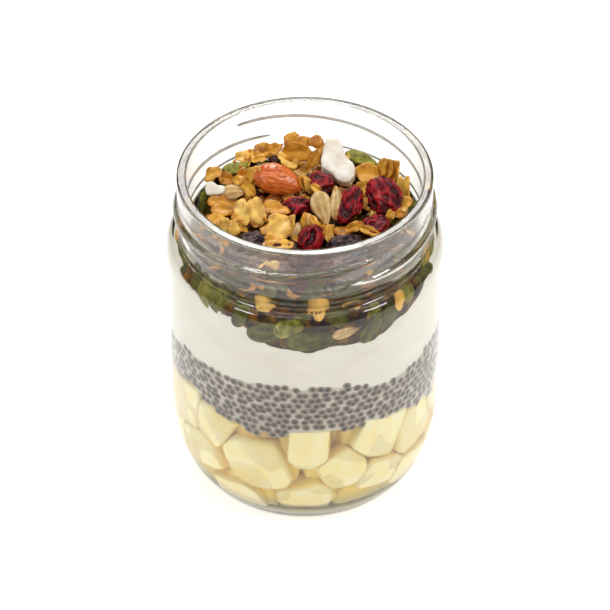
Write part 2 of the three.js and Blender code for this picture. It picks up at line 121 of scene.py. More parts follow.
# Layers: heights in the middle, and the waviness of their edges
FRUIT_MIDDLE = 44.0
JUICE_RISE = 0.3
CHIA_MIDDLE = 62.0
YOGURT_MIDDLE = 84.0
HEAP_EDGE = 94.5
HEAP_MIDDLE = 97.5
YOGURT_SMEAR = 3.5
YOGURT_SMEAR_POWER = 16
EDGE_SHARE = 0.97
EDGE_RIPPLE = 0.9
EDGE_RIPPLE_SIZE = 4.5

# Rows up the wall and steps round the jar of what fills it, and rings across the granola
FILL_MESH = (40, 240)
FRUIT_CORE_MESH = (40, 160)
GEL_MESH = (54, 420)
GRANOLA_CORE_MESH = (24, 200, 30)

# Diced fruit at the front: angle, height, width, tallness and roll of each piece against the glass
FRONT_DICE = (
    (-153, 38.5, 17, 18, 10), (-136, 37.5, 14, 17, -12), (-113, 29, 20, 21, 14), (-88, 39, 12, 19, -4),
    (-73, 29, 15, 14, 18), (-55, 38, 18, 17, -20), (-33, 33, 17, 20, 10), (-90, 18.5, 17, 10, 8),
    (-54, 22.5, 15, 11, -16), (-145, 25, 16, 14, 26), (-167, 26, 16, 17, -8), (-124, 15.5, 15, 10, 12),
    (-34, 17.5, 16, 11, -10),
)

# Height and count of the rows round the back, and how all the dice are cut and pressed
DICE_ROWS = ((16, 7), (27, 8), (38, 8))
DICE_BACK_START = -12
DICE_BACK_SPAN = 205
DICE_DEPTH = 14.0
DICE_SIZES = (13, 20)
DICE_ROLL = 35
DICE_PRESS = 0.4
DICE_SLANT = 0.2
DICE_UNEVEN = 0.08
DICE_SPANS = (0.96, 1.03)
DICE_CORNERS = (0.78, 0.92)
DICE_FRONT = (-0.1, 0.5)
DICE_DENT = 0.025
DICE_DENT_SIZE = 6.0
DICE_GAP = 0.1
BOX_POWER = 8
DICE_STEPS = 14
DICE_SHARPNESS = 20
DICE_FLOOR = FLOOR + 3.5
BEIGE_FRUIT = (FLOOR + 2, FLOOR + 9)

# Dice in each row close behind those at the glass, and the fruit deeper in
DEEP_DICE = 12
DEEP_DICE_INSET = 4.0
DEEP_DICE_SIZES = (15, 18)
DEEP_DICE_ROLL = 20
DEEP_DICE_STEPS = 9
FRUIT_CORE_INSET = 9.0
FRUIT_CORE_RISE = 3.0
FRUIT_CORE_BUMP = 0.05
FRUIT_CORE_BUMP_SIZE = 7.0

# Chia: spacing of the soaked seeds, their half sizes, and how far they stray past the pudding's edges
CHIA_ROW = 2.2
CHIA_COLUMN = 2.5
CHIA_SHIFT = 0.34
CHIA_SEED = np.array((1.52, 1.36, 0.54))
CHIA_SCALES = (0.86, 1.1)
CHIA_STRAY = (-0.5, 1.0)
CHIA_DIP = 0.2
CHIA_CLEAR = 0.9
CHIA_STEPS = 4

# Granola: length, width and thickness of its pieces, and how much their sizes vary
OAT_FLAKE = np.array((7.6, 6.2, 1.4))
OAT_SCALES = (0.75, 1.12)
PUMPKIN_SEED = np.array((13.0, 7.4, 2.6))
PUMPKIN_SCALES = (0.92, 1.04)
SUNFLOWER_SEED = np.array((10.2, 5.4, 3.0))
SUNFLOWER_SCALES = (0.9, 1.05)
DRIED_FRUIT = np.array((9.0, 6.6, 5.0))
DRIED_SCALES = (0.85, 1.05)
CRUMB = np.array((2.4, 2.0, 1.2))
CRUMB_SCALES = (0.4, 1.2)

# Oat flakes: waves round their edge, split, crease and curl
FLAKE_RINGS = 7
FLAKE_STEPS = 30
FLAKE_WAVES = ((2, 0.08), (3, 0.06), (5, 0.04))
FLAKE_SPLIT = (0.05, 0.4)
FLAKE_SPLIT_WIDTH = 0.2
FLAKE_CREASE = 0.62
FLAKE_CREASE_WIDTH = 0.13
FLAKE_CURL = (0.05, 0.17)
FLAKE_FOLD = (-0.03, 0.05)
FLAKE_RUFFLE = 0.34

# Seeds: point, rim and ridge of each kind, and what they share
PUMPKIN_SHAPE = (0.5, 0.28, 0.0)
SUNFLOWER_SHAPE = (0.72, 0.0, 0.06)
SEED_STEPS = 10
SEED_TAPER = 1.8
SEED_FLATNESS = 0.8
SEED_RIM = 0.82
SEED_RIM_WIDTH = 0.12
SEED_STRIPES = 9
SEED_BUMP = 0.1
SEED_BUMP_SIZE = 2.2
SEED_BEND = (-0.008, 0.014)

# Relief of the dried fruit and the crumbs, as shares of their size
DRIED_STEPS = 12
DRIED_BODY = 0.82
DRIED_FOLD = 0.42
DRIED_FOLD_SIZE = 0.5
CRUMB_STEPS = 6
CRUMB_BUMP = 0.3
CRUMB_BUMP_SIZE = 0.7

# The heap: the bed that pieces fall on, how they lie, and what is under them
HEAP_BED = 1.6
HEAP_CELL = 0.5
HEAP_FLAKES = 190
HEAP_SINK = 0.4
HEAP_FRONT = -11
HEAP_FRONT_RIM = 0.84
HEAP_BACK_RIM = 0.85
SUNFLOWER_EVERY = 23
SUNFLOWER_FIRST = 7
HEAP_MARGIN = 2.5
GOLDEN_ANGLE = 137.508
LOOSE_SCALE = 0.75
LOOSE_TILT = 24
# Painted shade: loose pieces under the placed ones get a lower tone, so they come out browner and darker
LOOSE_PAINTED_SHADE = 0.65
CRUMBS = 90
CRUMB_SPREAD = 0.94
TOPPING_SHARE = 0.9
CORE_DROP = 1.8
CORE_BUMP = 0.7
CORE_BUMP_SIZE = 2.6
CORE_BUMP_FROM = YOGURT_MIDDLE + 6
CORE_PATCH_SIZE = 5.0

# Pieces at the glass: how far they reach past its inside, and how much deeper each further group lies
WALL_PRESS = 0.4
WALL_SINK = 0.15
WALL_GROUP = 9
WALL_TOP = HEAP_EDGE - 2
WALL_FLATTENING = 0.45
WALL_FLAKE_FLATTENING = 0.15
WALL_RAISIN_SHADE = 0.4
WALL_TONES = (0.4, 1.0)
WALL_FLAKE_TONES = (0.6, 1.0)

# Pieces against the glass at the front: kind, angle, height, tilt along the wall and scale
WALL_HEROES = (
    ("pumpkin", -106, 85.4, 24, 1.15), ("pumpkin", -87, 83.4, 4, 1.3), ("raisin", -84, 88.2, 2, 1.1),
    ("sunflower", -72, 85.4, 10, 1.05), ("pumpkin", -61, 84.2, 55, 0.9), ("oat", -109, 93.0, -16, 0.9),
    ("pumpkin", -118, 88.4, 60, 0.7), ("pumpkin", -139, 90.2, -50, 0.8), ("oat", -46, 88.6, 50, 0.6),
    ("pumpkin", -52, 86.2, 66, 0.95), ("oat", -84, 93.2, 4, 1.0), ("raisin", -97, 91.4, 0, 0.9),
    ("pumpkin", -131, 88.8, -35, 0.8), ("raisin", -66, 88.4, 30, 0.8), ("pumpkin", -97, 87.4, 20, 0.9),
    ("pumpkin", -162, 91.6, -50, 0.8), ("pumpkin", -20, 91.6, 50, 0.8), ("pumpkin", -146, 91.0, -55, 0.7),
    ("pumpkin", -126, 91.2, -20, 0.9), ("pumpkin", -74, 89.6, -20, 0.9), ("pumpkin", -57, 90.4, 40, 0.9),
    ("pumpkin", -39, 90.6, 50, 0.9), ("pumpkin", -116, 91.6, 30, 0.8), ("oat", -68, 92.4, 0, 0.8),
    ("pumpkin", -153, 89.3, -15, 0.85), ("pumpkin", -27, 89.4, 15, 0.85), ("pumpkin", -90, 90.4, 8, 0.9),
    ("pumpkin", -104, 89.6, -24, 0.9), ("pumpkin", -46, 90.8, 30, 0.8), ("pumpkin", -36, 89.6, 30, 0.8),
)

# Rows of them round the back: height over the yogurt and count of each
WALL_ROWS = ((3.2, 14), (7.5, 14), (11.0, 13))
WALL_ROWS_START = -18
WALL_ROWS_SPAN = 216
WALL_ROWS_SHIFT = 5
WALL_ROWS_TILT = 50
WALL_ROWS_SCALE = 0.9
WALL_KINDS = ("pumpkin", "pumpkin", "oat", "pumpkin", "raisin", "pumpkin", "oat", "sunflower")

# Pieces that lie on the heap: place, direction and rise that each faces, spin in its own plane, length,
# width and, where it matters, a tone from toasted brown at 0 to cream at 1
HEROES = {
    "oat": (
        (-2.7, 25, 103.2, -90, 15, 5, 9.5, 7.1, 0.45), (2.6, 24, 100.8, -90, 12, 62, 8.4, 3.4, 0.5),
        (-18, 27.3, 99.5, -90, 62, 10, 7.4, 4.6, 0.8), (-12.7, 28.4, 101, -80, 55, -8, 6.8, 4.7, 0.5),
        (-9.6, 28, 101.5, -100, 45, 30, 5.2, 4.2, 0.45), (-14.2, 24.9, 100.5, -90, 35, 25, 4.8, 2.8, 0.7),
        (-5.2, 23.9, 100.5, -80, 48, -35, 7.9, 4.2, 0.85), (-18.7, 18.2, 99.5, -90, 45, 0, 4.4, 3.9, 0.3),
        (-28.9, 19.1, 99, -80, 42, 25, 6.7, 4.8, 0.6), (-24.1, 15.6, 100, -100, 38, -10, 5, 4, 0.4),
        (-16.3, 15.5, 101.5, -140, 14, 66, 6.4, 4.2, 0.7), (-14.9, 14.8, 102, -145, 12, 76, 9.4, 4.2, 0.85),
        (-17.5, 10.1, 100.5, -60, 25, -58, 7.4, 3.6, 0.7), (-26.4, 6, 98.5, -90, 58, -10, 6.6, 4.6, 0.4),
        (-24.9, 3, 98, -85, 60, -8, 8, 5, 0.45), (-18.7, -0.5, 100, -125, 30, -60, 8.5, 5.6, 0.95),
        (-14.6, -1.2, 100.8, -100, 34, -60, 8.7, 5.9, 0.9), (-9, -0.6, 101.2, -90, 66, -6, 9.1, 4.7, 0.45),
        (-8.1, -7.9, 99.5, -95, 42, 55, 9.6, 8.4, 0.85), (-4.2, -7.1, 99.8, -150, 14, 84, 7.5, 4.2, 0.75),
        (-7.7, -13.3, 97.2, -90, 72, 2, 9.9, 4.4, 0.6), (-11.1, -11.2, 97, -90, 60, -15, 6.2, 3.8, 0.5),
        (-27.5, -1.9, 97.5, -80, 45, 32, 6.7, 4.4, 0.6), (-24.2, -4.8, 97.5, -120, 22, 70, 6.5, 4.2, 0.85),
        (-21.7, -6, 97.3, -60, 22, 78, 6, 4, 0.8), (-20.2, -1.1, 98.4, -90, 55, 22, 4.8, 3.4, 0.6),
        (19.4, 18.5, 99.5, -90, 42, -14, 8.3, 6.8, 0.5), (23.7, 19.2, 101.5, -135, 10, 80, 7, 4.2, 0.6),
        (25.8, 18.3, 101.6, -140, 8, 82, 7.6, 4.2, 0.7), (27.9, 17.4, 101.2, -145, 10, 86, 8.2, 4.2, 0.6),
        (30, 10.4, 99.5, -140, 32, -65, 9.8, 6.1, 0.75), (26.1, 1.3, 97.6, -90, 40, 60, 3.8, 3, 0.5),
        (29.1, 1.8, 97.8, -100, 50, 25, 4.8, 3.6, 0.45), (14.7, -5.4, 98, -90, 30, 26, 6.2, 3.2, 0.4),
        (19.6, -6.6, 97.4, -90, 28, -22, 8, 2.9, 0.6), (0.2, -3.5, 99, -70, 35, 62, 5, 4, 0.6),
        (2.7, -4.5, 98.8, -40, 28, 80, 5, 3.4, 0.6), (7.2, -8.7, 98.2, -50, 30, 64, 6, 3.7, 0.6),
        (5.1, -7.1, 98.2, -90, 50, 20, 4.2, 3.2, 0.5), (3.4, 10.1, 100.5, -90, 30, -42, 3.8, 2.8, 0.7),
        (17.8, 12.1, 99.5, -90, 40, 20, 5, 3.8, 0.7), (-0.6, 12.8, 100.5, -40, 15, -76, 7, 3.6, 0.7),
        (1, 12.2, 99.6, -35, 18, -78, 7.3, 3.7, 0.8), (30.5, 6.1, 98, -110, 45, 40, 5.2, 3.6, 0.6),
        (-20.7, 14.9, 99.6, -90, 50, 20, 3.6, 3, 0.7), (-10.5, -22, 96.4, -90, 40, 15, 7, 5.4, 0.95),
    ),
    "crumb": (
        (-4, 29, 104.8, -90, 40, 20, 5.4, 4.6, 0.4), (-0.4, 29.2, 103.6, -90, 40, 0, 4.6, 4.2, 0.45),
        (3.6, 28.4, 104.2, -90, 40, -50, 5, 4.4, 0.25), (5, 26.6, 101.8, -90, 40, 60, 4.8, 3.6, 0.4),
    ),
    "sunflower": (
        (5.2, 0, 100.8, -90, 40, -72, 10.8, 6.4), (9.6, 1.9, 101.4, -60, 32, 75, 10.6, 5.4),
        (-21.6, 9.5, 99.6, -90, 45, 4, 7.8, 4.8),
    ),
    "pumpkin": (
        (-21.5, 22.9, 98.2, -90, 74, 20, 9.6, 4.8, 1), (-30.6, 7.4, 96.6, -45, 28, 78, 9.6, 5.4, 0.4),
        (17.4, 27.4, 98.4, -90, 78, -24, 11, 5.2, 0.9),
    ),
    "raisin": (
        (-9.6, 25.4, 99.6, -90, 40, 0, 4, 3.2), (1.6, 17, 98.4, -90, 40, 0, 5, 4),
        (-20, -17, 95.2, -90, 70, 10, 9, 7), (22, -17, 95.2, -90, 70, -20, 9.4, 7),
        (14, -24, 94.8, -90, 70, 0, 9, 7), (-15, -26, 94.6, -90, 70, 30, 8, 6.4),
        (27, -8, 95, -90, 70, 60, 8.4, 6.4), (-28, -10, 94.8, -90, 70, -60, 8, 6.4),
    ),
    "berry": (
        (3, -21, 95.2, -90, 60, 10, 9, 6.6), (10, -19.6, 95.4, -90, 60, 40, 8.4, 6.4),
        (-2, -28, 94.4, -90, 60, -20, 8.4, 6.2),
    ),
}

# Toppings: size of their even faces and rounds of smoothing
ALMOND_MESH = (0.28, 14)
BERRY_MESH = (0.26, 8)
COCONUT_MESH = (0.3, 10)

# Relief of the toppings: size and depth of the berries' folds, and furrows, dents and grain
CRANBERRY_FOLDS = (2.6, 0.7)
RAISIN_FOLDS = (2.2, 0.7)
BERRY_STRETCH = (0.6, 1.0, 1.0)
BERRY_RIDGE = 1.6
BERRY_LEVEL = 0.75
BERRY_GRAIN = 0.3
BERRY_FINENESS = 2.4
ALMOND_FURROWS = 9
ALMOND_FURROW_DEPTH = 0.08
ALMOND_FADE = 1.25
ALMOND_WANDER = 3.4
ALMOND_WANDER_SIZE = 6.0
ALMOND_GRAIN = 0.14
ALMOND_GRAIN_SIZE = 1.6
COCONUT_DENT = 0.35
COCONUT_DENT_SIZE = 4.0
COCONUT_GRAIN = 0.08
COCONUT_GRAIN_SIZE = 1.2

# Studio: place, size and power of each lamp, in metres and watts, and the brightness round them
LAMPS = {
    "key_light": ((0.6, -0.3, 0.72), 0.22, 3.1),
    "fill_light": ((-0.55, -0.42, 0.7), 0.22, 2.5),
    "top_light": ((0.0, -0.1, 1.0), 0.5, 1.5),
    "back_light": ((-0.05, 0.7, 0.84), 0.36, 4.4),
}
FLOOR_HALF = 3.0
FLOOR_GLOW = 0.5
STUDIO_STRENGTH = 0.55

MAIN_SHADER = "Principled BSDF"
WHITE = (255, 255, 255)
Form = namedtuple("Form", "points faces marks")
Chunk = namedtuple("Chunk", "middle axes half")


def srgb(red, green, blue):
    """The linear colour of a screen colour given from 0 to 255."""
    share = np.array((red, green, blue)) / 255
    linear = np.where(share > 0.04045, ((share + 0.055) / 1.055) ** 2.4, share / 12.92)
    return (*linear.tolist(), 1.0)


def vertex_values(mesh, name):
    """The vectors of that name at a mesh's vertices."""
    values = np.empty(3 * len(mesh.vertices), np.float32)
    mesh.vertices.foreach_get(name, values)
    return values.reshape(-1, 3)


def node_points(name):
    """A solid's vertices in millimetres."""
    return vertex_values(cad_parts[name].data, "co") / MM


def solids(start):
    """Names of the solids that start with a word."""
    return [name for name in sorted(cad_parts) if name.startswith(start)]


def bumps(points, size, octaves=2):
    """Smooth repeatable noise of about -1 to 1 at each point, with waves of about that size."""
    return np.array([noise.fractal(Vector(point), 1.0, 2.0, octaves) for point in points / size])


def own_bumps(points, size, random):
    """Noise that differs from piece to piece."""
    return bumps(points + random.uniform(0, 99, 3), size)


def around(radius, angle, z):
    """Points at a radius and an angle in radians round the jar's axis."""
    return np.stack((radius * np.cos(angle), radius * np.sin(angle), z), -1)


def distances(points, targets):
    """Distance of each point to the nearest target."""
    tree = KDTree(len(targets))
    for index, target in enumerate(targets):
        tree.insert(target, index)
    tree.balance()
    return np.array([tree.find(point)[2] for point in points])


def turning(turn):
    """The matrix that turns about X, then Y, then Z."""
    return np.array(Euler(np.radians(turn)).to_matrix())


def facing_frame(facing, rise, spin):
    """The matrix that points a flat form's face to a direction, with its length spun in its plane."""
    direction, up, roll = np.radians((facing, rise, spin))
    ahead = np.array((math.cos(direction), math.sin(direction), 0.0))
    level = np.array((-math.sin(direction), math.cos(direction), 0.0))
    normal = math.cos(up) * ahead + (0, 0, math.sin(up))
    along = math.cos(roll) * level + math.sin(roll) * np.cross(normal, level)
    return np.stack((along, np.cross(normal, along), normal), 1)


def joined(forms):
    """Several forms as one."""
    faces = []
    start = 0
    for form in forms:
        faces += [[start + corner for corner in face] for face in form.faces]
        start += len(form.points)
    marks = {name: np.concatenate([form.marks[name] for form in forms]) for name in forms[0].marks}
    return Form(np.vstack([form.points for form in forms]), faces, marks)


def ball(steps):
    """Even directions over a sphere, from a cube's grid, and the faces between them."""
    grid = np.tan(np.linspace(-math.pi / 4, math.pi / 4, steps + 1))
    u, v = np.meshgrid(grid, grid, indexing="ij")
    one = np.ones_like(u)
    sides = ((one, u, v), (-one, v, u), (v, one, u), (u, -one, v), (u, v, one), (v, u, -one))
    points = np.vstack([np.stack(side, -1).reshape(-1, 3) for side in sides])
    corner = np.arange((steps + 1) ** 2).reshape(steps + 1, steps + 1)
    quad = np.stack((corner[:-1, :-1], corner[1:, :-1], corner[1:, 1:], corner[:-1, 1:]), -1).reshape(-1, 4)
    quads = np.vstack([quad + side * corner.size for side in range(len(sides))])
    shared, back = np.unique(np.round(points, 6), axis=0, return_inverse=True)
    directions = shared / np.linalg.norm(shared, axis=1, keepdims=True)
    return directions, back.reshape(-1)[quads]


def turned_faces(rows, steps):
    """Faces of a turned form: a point on the axis, rows of points round it, and a last point on it."""
    ring = np.arange(rows * steps).reshape(rows, steps) + 1
    after = np.roll(ring, -1, axis=1)
    faces = np.stack((ring[:-1], after[:-1], after[1:], ring[1:]), -1).reshape(-1, 4).tolist()
    last = rows * steps + 1
    faces += [(0, b, a) for a, b in zip(ring[0].tolist(), after[0].tolist())]
    faces += [(a, b, last) for a, b in zip(ring[-1].tolist(), after[-1].tolist())]
    return faces


def added(name, data):
    """A new object in the scene."""
    made = bpy.data.objects.new(name, data)
    bpy.context.scene.collection.objects.link(made)
    return made


def piece(name, form, material, slot, *nodes):
    """Makes a mesh of a form that stands for the named solids."""
    mesh = bpy.data.meshes.new(name)
    mesh.from_pydata((form.points * MM).tolist(), [], form.faces)
    mesh.shade_smooth()
    for label, values in form.marks.items():
        attribute = mesh.attributes.new(label, "FLOAT", "POINT")
        attribute.data.foreach_set("value", np.asarray(values, np.float32))
    mesh.materials.append(material)
    made = added(name, mesh)
    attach(made, "root")
    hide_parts(*nodes)


# Jar

def inside_radius(z):
    """Radius of the jar's inside at each height."""
    side = INSIDE
    ledge = side.neck + COVE
    ledge_height = side.shoulder + side.shoulder_height
    z = np.asarray(z, float)
    drop = np.clip((side.floor + side.heel_height - z) / side.heel_height, 0, 1)
    heel = side.body - side.heel_depth * (1 - (1 - drop**HEEL_POWER) ** (1 / HEEL_POWER))
    rise = np.clip((z - side.shoulder) / side.shoulder_height, 0, 1)
    shoulder = ledge + (side.body - ledge) * np.sqrt(1 - rise**2)
    left = np.clip(1 - (z - ledge_height) / COVE, 0, 1)
    cove = ledge - COVE * np.sqrt(1 - left**2)
    return np.where(z < side.shoulder, heel, np.where(z < ledge_height, shoulder, cove))


def side_outline(side):
    """Radius and height of points up one side of the glass, from the floor's edge to the lip."""
    turn = np.linspace(0, math.pi / 2, HEEL_STEPS)
    heel_rise = 1 - np.cos(turn).clip(0) ** (2 / HEEL_POWER)
    heel = np.stack((side.body - side.heel_depth * (1 - np.sin(turn) ** (2 / HEEL_POWER)),
                     side.floor + side.heel_height * heel_rise), 1)
    wall_z = np.linspace(side.floor + side.heel_height, side.shoulder, WALL_STEPS)[1:-1]
    wall = np.stack((np.full_like(wall_z, side.body), wall_z), 1)
    ledge = side.neck + COVE
    turn = np.linspace(0, math.pi / 2, SHOULDER_STEPS)
    shoulder = np.stack((ledge + (side.body - ledge) * np.cos(turn),
                         side.shoulder + side.shoulder_height * np.sin(turn)), 1)
    turn = np.linspace(0, math.pi / 2, COVE_STEPS)[1:]
    foot = side.shoulder + side.shoulder_height
    cove = np.stack((ledge - COVE * np.sin(turn), foot + COVE * (1 - np.cos(turn))), 1)
    neck_z = np.linspace(foot + COVE, JAR_HEIGHT - LIP, side.neck_steps)[1:-1]
    neck = np.stack((np.full_like(neck_z, side.neck), neck_z), 1)
    return np.vstack((heel, wall, shoulder, cove, neck))


def jar_outline():
    """The whole outline of the glass, from the middle of its base to the middle of its floor."""
    hollow = np.linspace(0, OUTSIDE.body - OUTSIDE.heel_depth - BEARING_RING, BASE_STEPS)
    base = np.stack((hollow, PUNT * (1 - (hollow / hollow[-1]) ** PUNT_POWER)), 1)
    turn = np.linspace(0, math.pi, LIP_STEPS)
    across = np.sign(np.cos(turn)) * np.abs(np.cos(turn)) ** (2 / LIP_POWER)
    rise = np.sin(turn).clip(0) ** (2 / LIP_POWER)
    lip = np.stack((OUTSIDE.neck - LIP + LIP * across, JAR_HEIGHT - LIP + LIP * rise), 1)
    across = np.linspace(INSIDE.body - INSIDE.heel_depth, 0, BASE_STEPS)[1:]
    floor = np.stack((across, np.full_like(across, FLOOR)), 1)
    return np.vstack((base, side_outline(OUTSIDE), lip, side_outline(INSIDE)[::-1], floor))


def thread_rise(angle, z):
    """How far the threads and the bead stand out of the neck."""
    rise = BEAD_HEIGHT * np.clip(1 - ((z - BEAD_MIDDLE) / BEAD_HALF_WIDTH) ** 2, 0, 1) ** 2
    for start in THREAD_STARTS:
        along = np.mod(start - np.degrees(angle), 360) / THREAD_SPAN
        swell = np.clip(np.minimum(along, 1 - along) / THREAD_TAPER, 0, 1) ** 0.5
        across = (z - THREAD_TOP + along * THREAD_LEAD * THREAD_SPAN / 360) / THREAD_HALF_WIDTH
        rise = np.maximum(rise, THREAD_HEIGHT * swell * np.clip(1 - across**2, 0, 1) ** THREAD_POWER)
    return rise


def jar_form():
    """The glass jar, with its threads and a slight waviness on its inside."""
    outline = jar_outline()
    rows = outline[1:-1]
    angle, radius = np.meshgrid(np.linspace(0, 2 * math.pi, JAR_STEPS, endpoint=False), rows[:, 0])
    z = np.repeat(rows[:, 1:], JAR_STEPS, axis=1)
    radius = radius + np.where(np.isclose(radius, OUTSIDE.neck), thread_rise(angle, z), 0)
    points = around(radius, angle, z).reshape(-1, 3)
    inner = np.hypot(points[:, 0], points[:, 1]) < inside_radius(points[:, 2]) + ON_GLASS
    above = inner & (points[:, 2] > HEAP_EDGE) & (points[:, 2] < JAR_HEIGHT - 2 * LIP)
    points[above, :2] *= 1 + GLASS_WAVE * bumps(points[above], GLASS_WAVE_SIZE)[:, None] / INSIDE.neck
    first = np.array(((0, 0, outline[0, 1]),))
    last = np.array(((0, 0, outline[-1, 1]),))
    return Form(np.vstack((first, points, last)), turned_faces(len(rows), JAR_STEPS), {})


# Layers

def edge_levels(solid):
    """Angles round a layer's solid, with the lowest and highest point of its edge at each."""
    points = node_points(solid)
    radius = np.hypot(points[:, 0], points[:, 1])
    edge = points[radius > EDGE_SHARE * radius.max()]
    angle = np.round(np.degrees(np.arctan2(edge[:, 1], edge[:, 0]))) % 360
    angles = np.unique(angle)
    low = np.array([edge[angle == value, 2].min() for value in angles])
    high = np.array([edge[angle == value, 2].max() for value in angles])
    return angles, low, high


def wall_line(angles, levels):
    """A rippled line round the glass through those levels."""
    def line(angle):
        smooth = np.interp(np.degrees(angle) % 360, angles, levels, period=360)
        ring = around(1.0, angle, np.full_like(angle, levels[0] / INSIDE.body))
        ripple = bumps(ring.reshape(-1, 3) * INSIDE.body, EDGE_RIPPLE_SIZE).reshape(np.shape(angle))
        return smooth + EDGE_RIPPLE * ripple
    return line


def surface(line, middle):
    """A layer's height at a share of the radius and an angle."""
    return lambda share, angle: middle + (line(angle) - middle) * share**2


CHIA_ANGLES, CHIA_LOW, CHIA_HIGH = edge_levels("chia_pudding")
fruit_line = wall_line(CHIA_ANGLES, CHIA_LOW)
chia_line = wall_line(CHIA_ANGLES, CHIA_HIGH)
yogurt_level = wall_line(*edge_levels("yogurt")[::2])


def yogurt_line(angle):
    """The yogurt's upper edge, smeared a little higher at the jar's left and right."""
    return yogurt_level(angle) + YOGURT_SMEAR * np.abs(np.cos(angle)) ** YOGURT_SMEAR_POWER


fruit_top = surface(fruit_line, FRUIT_MIDDLE)
chia_top = surface(chia_line, CHIA_MIDDLE)
yogurt_top = surface(yogurt_line, YOGURT_MIDDLE)
heap_top = surface(lambda angle: np.full_like(angle, HEAP_EDGE), HEAP_MIDDLE)


def raised(top, by):
    """A surface moved up by a distance."""
    return lambda share, angle: top(share, angle) + by


def fill_form(bottom, top, reach, rows, steps, rings=8):
    """Food that fills the jar between two surfaces and reaches that far past the inside of the glass."""
    across = np.linspace(0, 1, rings + 1)[1:]
    up = np.linspace(0, 1, rows + 1)[1:-1]
    share = np.concatenate((across, np.ones_like(up), across[::-1]))[:, None]
    rise = np.concatenate((np.zeros_like(across), up, np.ones_like(across)))[:, None]
    angle = np.repeat(np.linspace(0, 2 * math.pi, steps, endpoint=False)[None], len(share), axis=0)
    low = bottom(share, angle)
    z = low + (top(share, angle) - low) * rise
    radius = share * (inside_radius(z) + reach)
    points = around(radius, angle, z).reshape(-1, 3)
    middle = np.zeros(1)
    first = np.array(((0, 0, bottom(middle, middle)[0]),))
    last = np.array(((0, 0, top(middle, middle)[0]),))
    return Form(np.vstack((first, points, last)), turned_faces(len(share), steps), {})


def past_wall(points):
    """How far each point stands past the inside of the glass."""
    return np.hypot(points[:, 0], points[:, 1]) - inside_radius(points[:, 2])


def at_wall(points, contact):
    """Moves points that stand past the inside of the glass back to that far into it."""
    limit = inside_radius(points[:, 2]) + contact
    radius = np.hypot(points[:, 0], points[:, 1])
    points[:, :2] *= np.minimum(1, limit / np.maximum(radius, TINY))[:, None]
    return points


# Diced fruit

def placed_chunk(press, angle, height, width, tall, roll):
    """A chunk of fruit's middle, its axes with the first towards the glass, and its half sizes."""
    below, above = inside_radius((height - tall / 2, height + tall / 2))
    lean = math.degrees(math.atan2(above - below, tall))
    round_jar = turning((0, 0, angle))
    middle = round_jar @ (float(inside_radius(height)) + press - DICE_DEPTH / 2, 0, height)
    return Chunk(middle, round_jar @ turning((roll, lean, 0)), np.array((DICE_DEPTH, width, tall)) / 2)


def dice_row(press, angles, height, sizes, roll, random):
    """A row of chunks round the jar, of mixed sizes and rolls."""
    row = []
    for angle in angles:
        size = random.uniform(*sizes, 2)
        row.append(placed_chunk(press, angle, height, *size, random.uniform(-roll, roll)))
    return row


def box_reach(chunk, direction):
    """How far a chunk's rounded box reaches from its middle in a direction."""
    return (np.abs(chunk.axes.T @ direction / chunk.half) ** BOX_POWER).sum() ** (-1 / BOX_POWER)


def neighbour_cuts(chunk, ring):
    """Planes in a chunk's own axes that keep it clear of its neighbours, and their distances."""
    planes, spans = [], []
    for other in ring:
        between = other.middle - chunk.middle
        distance = max(np.linalg.norm(between), TINY)
        own = box_reach(chunk, between / distance)
        far = box_reach(other, between / distance)
        if other is not chunk and distance < own + far:
            planes.append(chunk.axes.T @ between / distance)
            spans.append(distance * own / (own + far) - DICE_GAP / 2)
    return planes, spans


def cut_form(directions, chunk, ring, random):
    """A knife-cut chunk: six uneven faces, two cut corners, a creased front, and room for others."""
    half = chunk.half
    sides = np.vstack((np.eye(3), -np.eye(3))) + random.normal(0, DICE_UNEVEN, (6, 3))
    corners = random.choice((-1.0, 1.0), (2, 3)) * random.uniform(0.5, 1.0, (2, 3))
    slant = random.uniform(-DICE_SLANT, DICE_SLANT, 2)
    near, near_spans = neighbour_cuts(chunk, ring)
    planes = np.vstack((sides, corners, (1.0, *slant), (1.0, *-slant), *near))
    planes /= np.linalg.norm(planes, axis=1, keepdims=True)
    corners, crease = planes[6:8], planes[8:10]
    spans = np.concatenate((
        np.tile(half, 2) * random.uniform(*DICE_SPANS, 6),
        (np.abs(corners) * half).sum(1) * random.uniform(*DICE_CORNERS, 2),
        crease[:, 0] * half[0] + random.uniform(*DICE_FRONT, 2),
        near_spans,
    ))
    reach = np.clip(directions @ planes.T, 0, None) / spans
    points = directions * (reach**DICE_SHARPNESS).sum(1)[:, None] ** (-1 / DICE_SHARPNESS)
    return points * (1 + DICE_DENT * own_bumps(points, DICE_DENT_SIZE, random))[:, None]


def dice_form(steps, chunk, ring, random):
    """One chunk of fruit among a ring of others, marked by how far each point presses against the glass."""
    directions, faces = ball(steps)
    points = cut_form(directions, chunk, ring, random) @ chunk.axes.T + chunk.middle
    points[:, 2] = points[:, 2].clip(DICE_FLOOR, None)
    pressed = past_wall(points)
    return Form(at_wall(points, FRUIT_CONTACT), faces, {"press": pressed})


def fruit_forms():
    """The chunks of fruit at the glass, and those close behind them."""
    random = np.random.default_rng(FRUIT_DRAW)
    front = [placed_chunk(DICE_PRESS, *place) for place in FRONT_DICE]
    behind = []
    for row, (height, count) in enumerate(DICE_ROWS):
        angles = DICE_BACK_START + DICE_BACK_SPAN * (np.arange(count) + row % 2 / 2) / count
        front += dice_row(DICE_PRESS, angles, height, DICE_SIZES, DICE_ROLL, random)
        angles = 360 * (np.arange(DEEP_DICE) + row % 2 / 2) / DEEP_DICE
        behind += dice_row(-DEEP_DICE_INSET, angles, height, DEEP_DICE_SIZES, DEEP_DICE_ROLL, random)
    at_glass = [dice_form(DICE_STEPS, chunk, front, random) for chunk in front]
    deeper = [dice_form(DEEP_DICE_STEPS, chunk, behind, random) for chunk in behind]
    return joined(at_glass), joined(deeper)


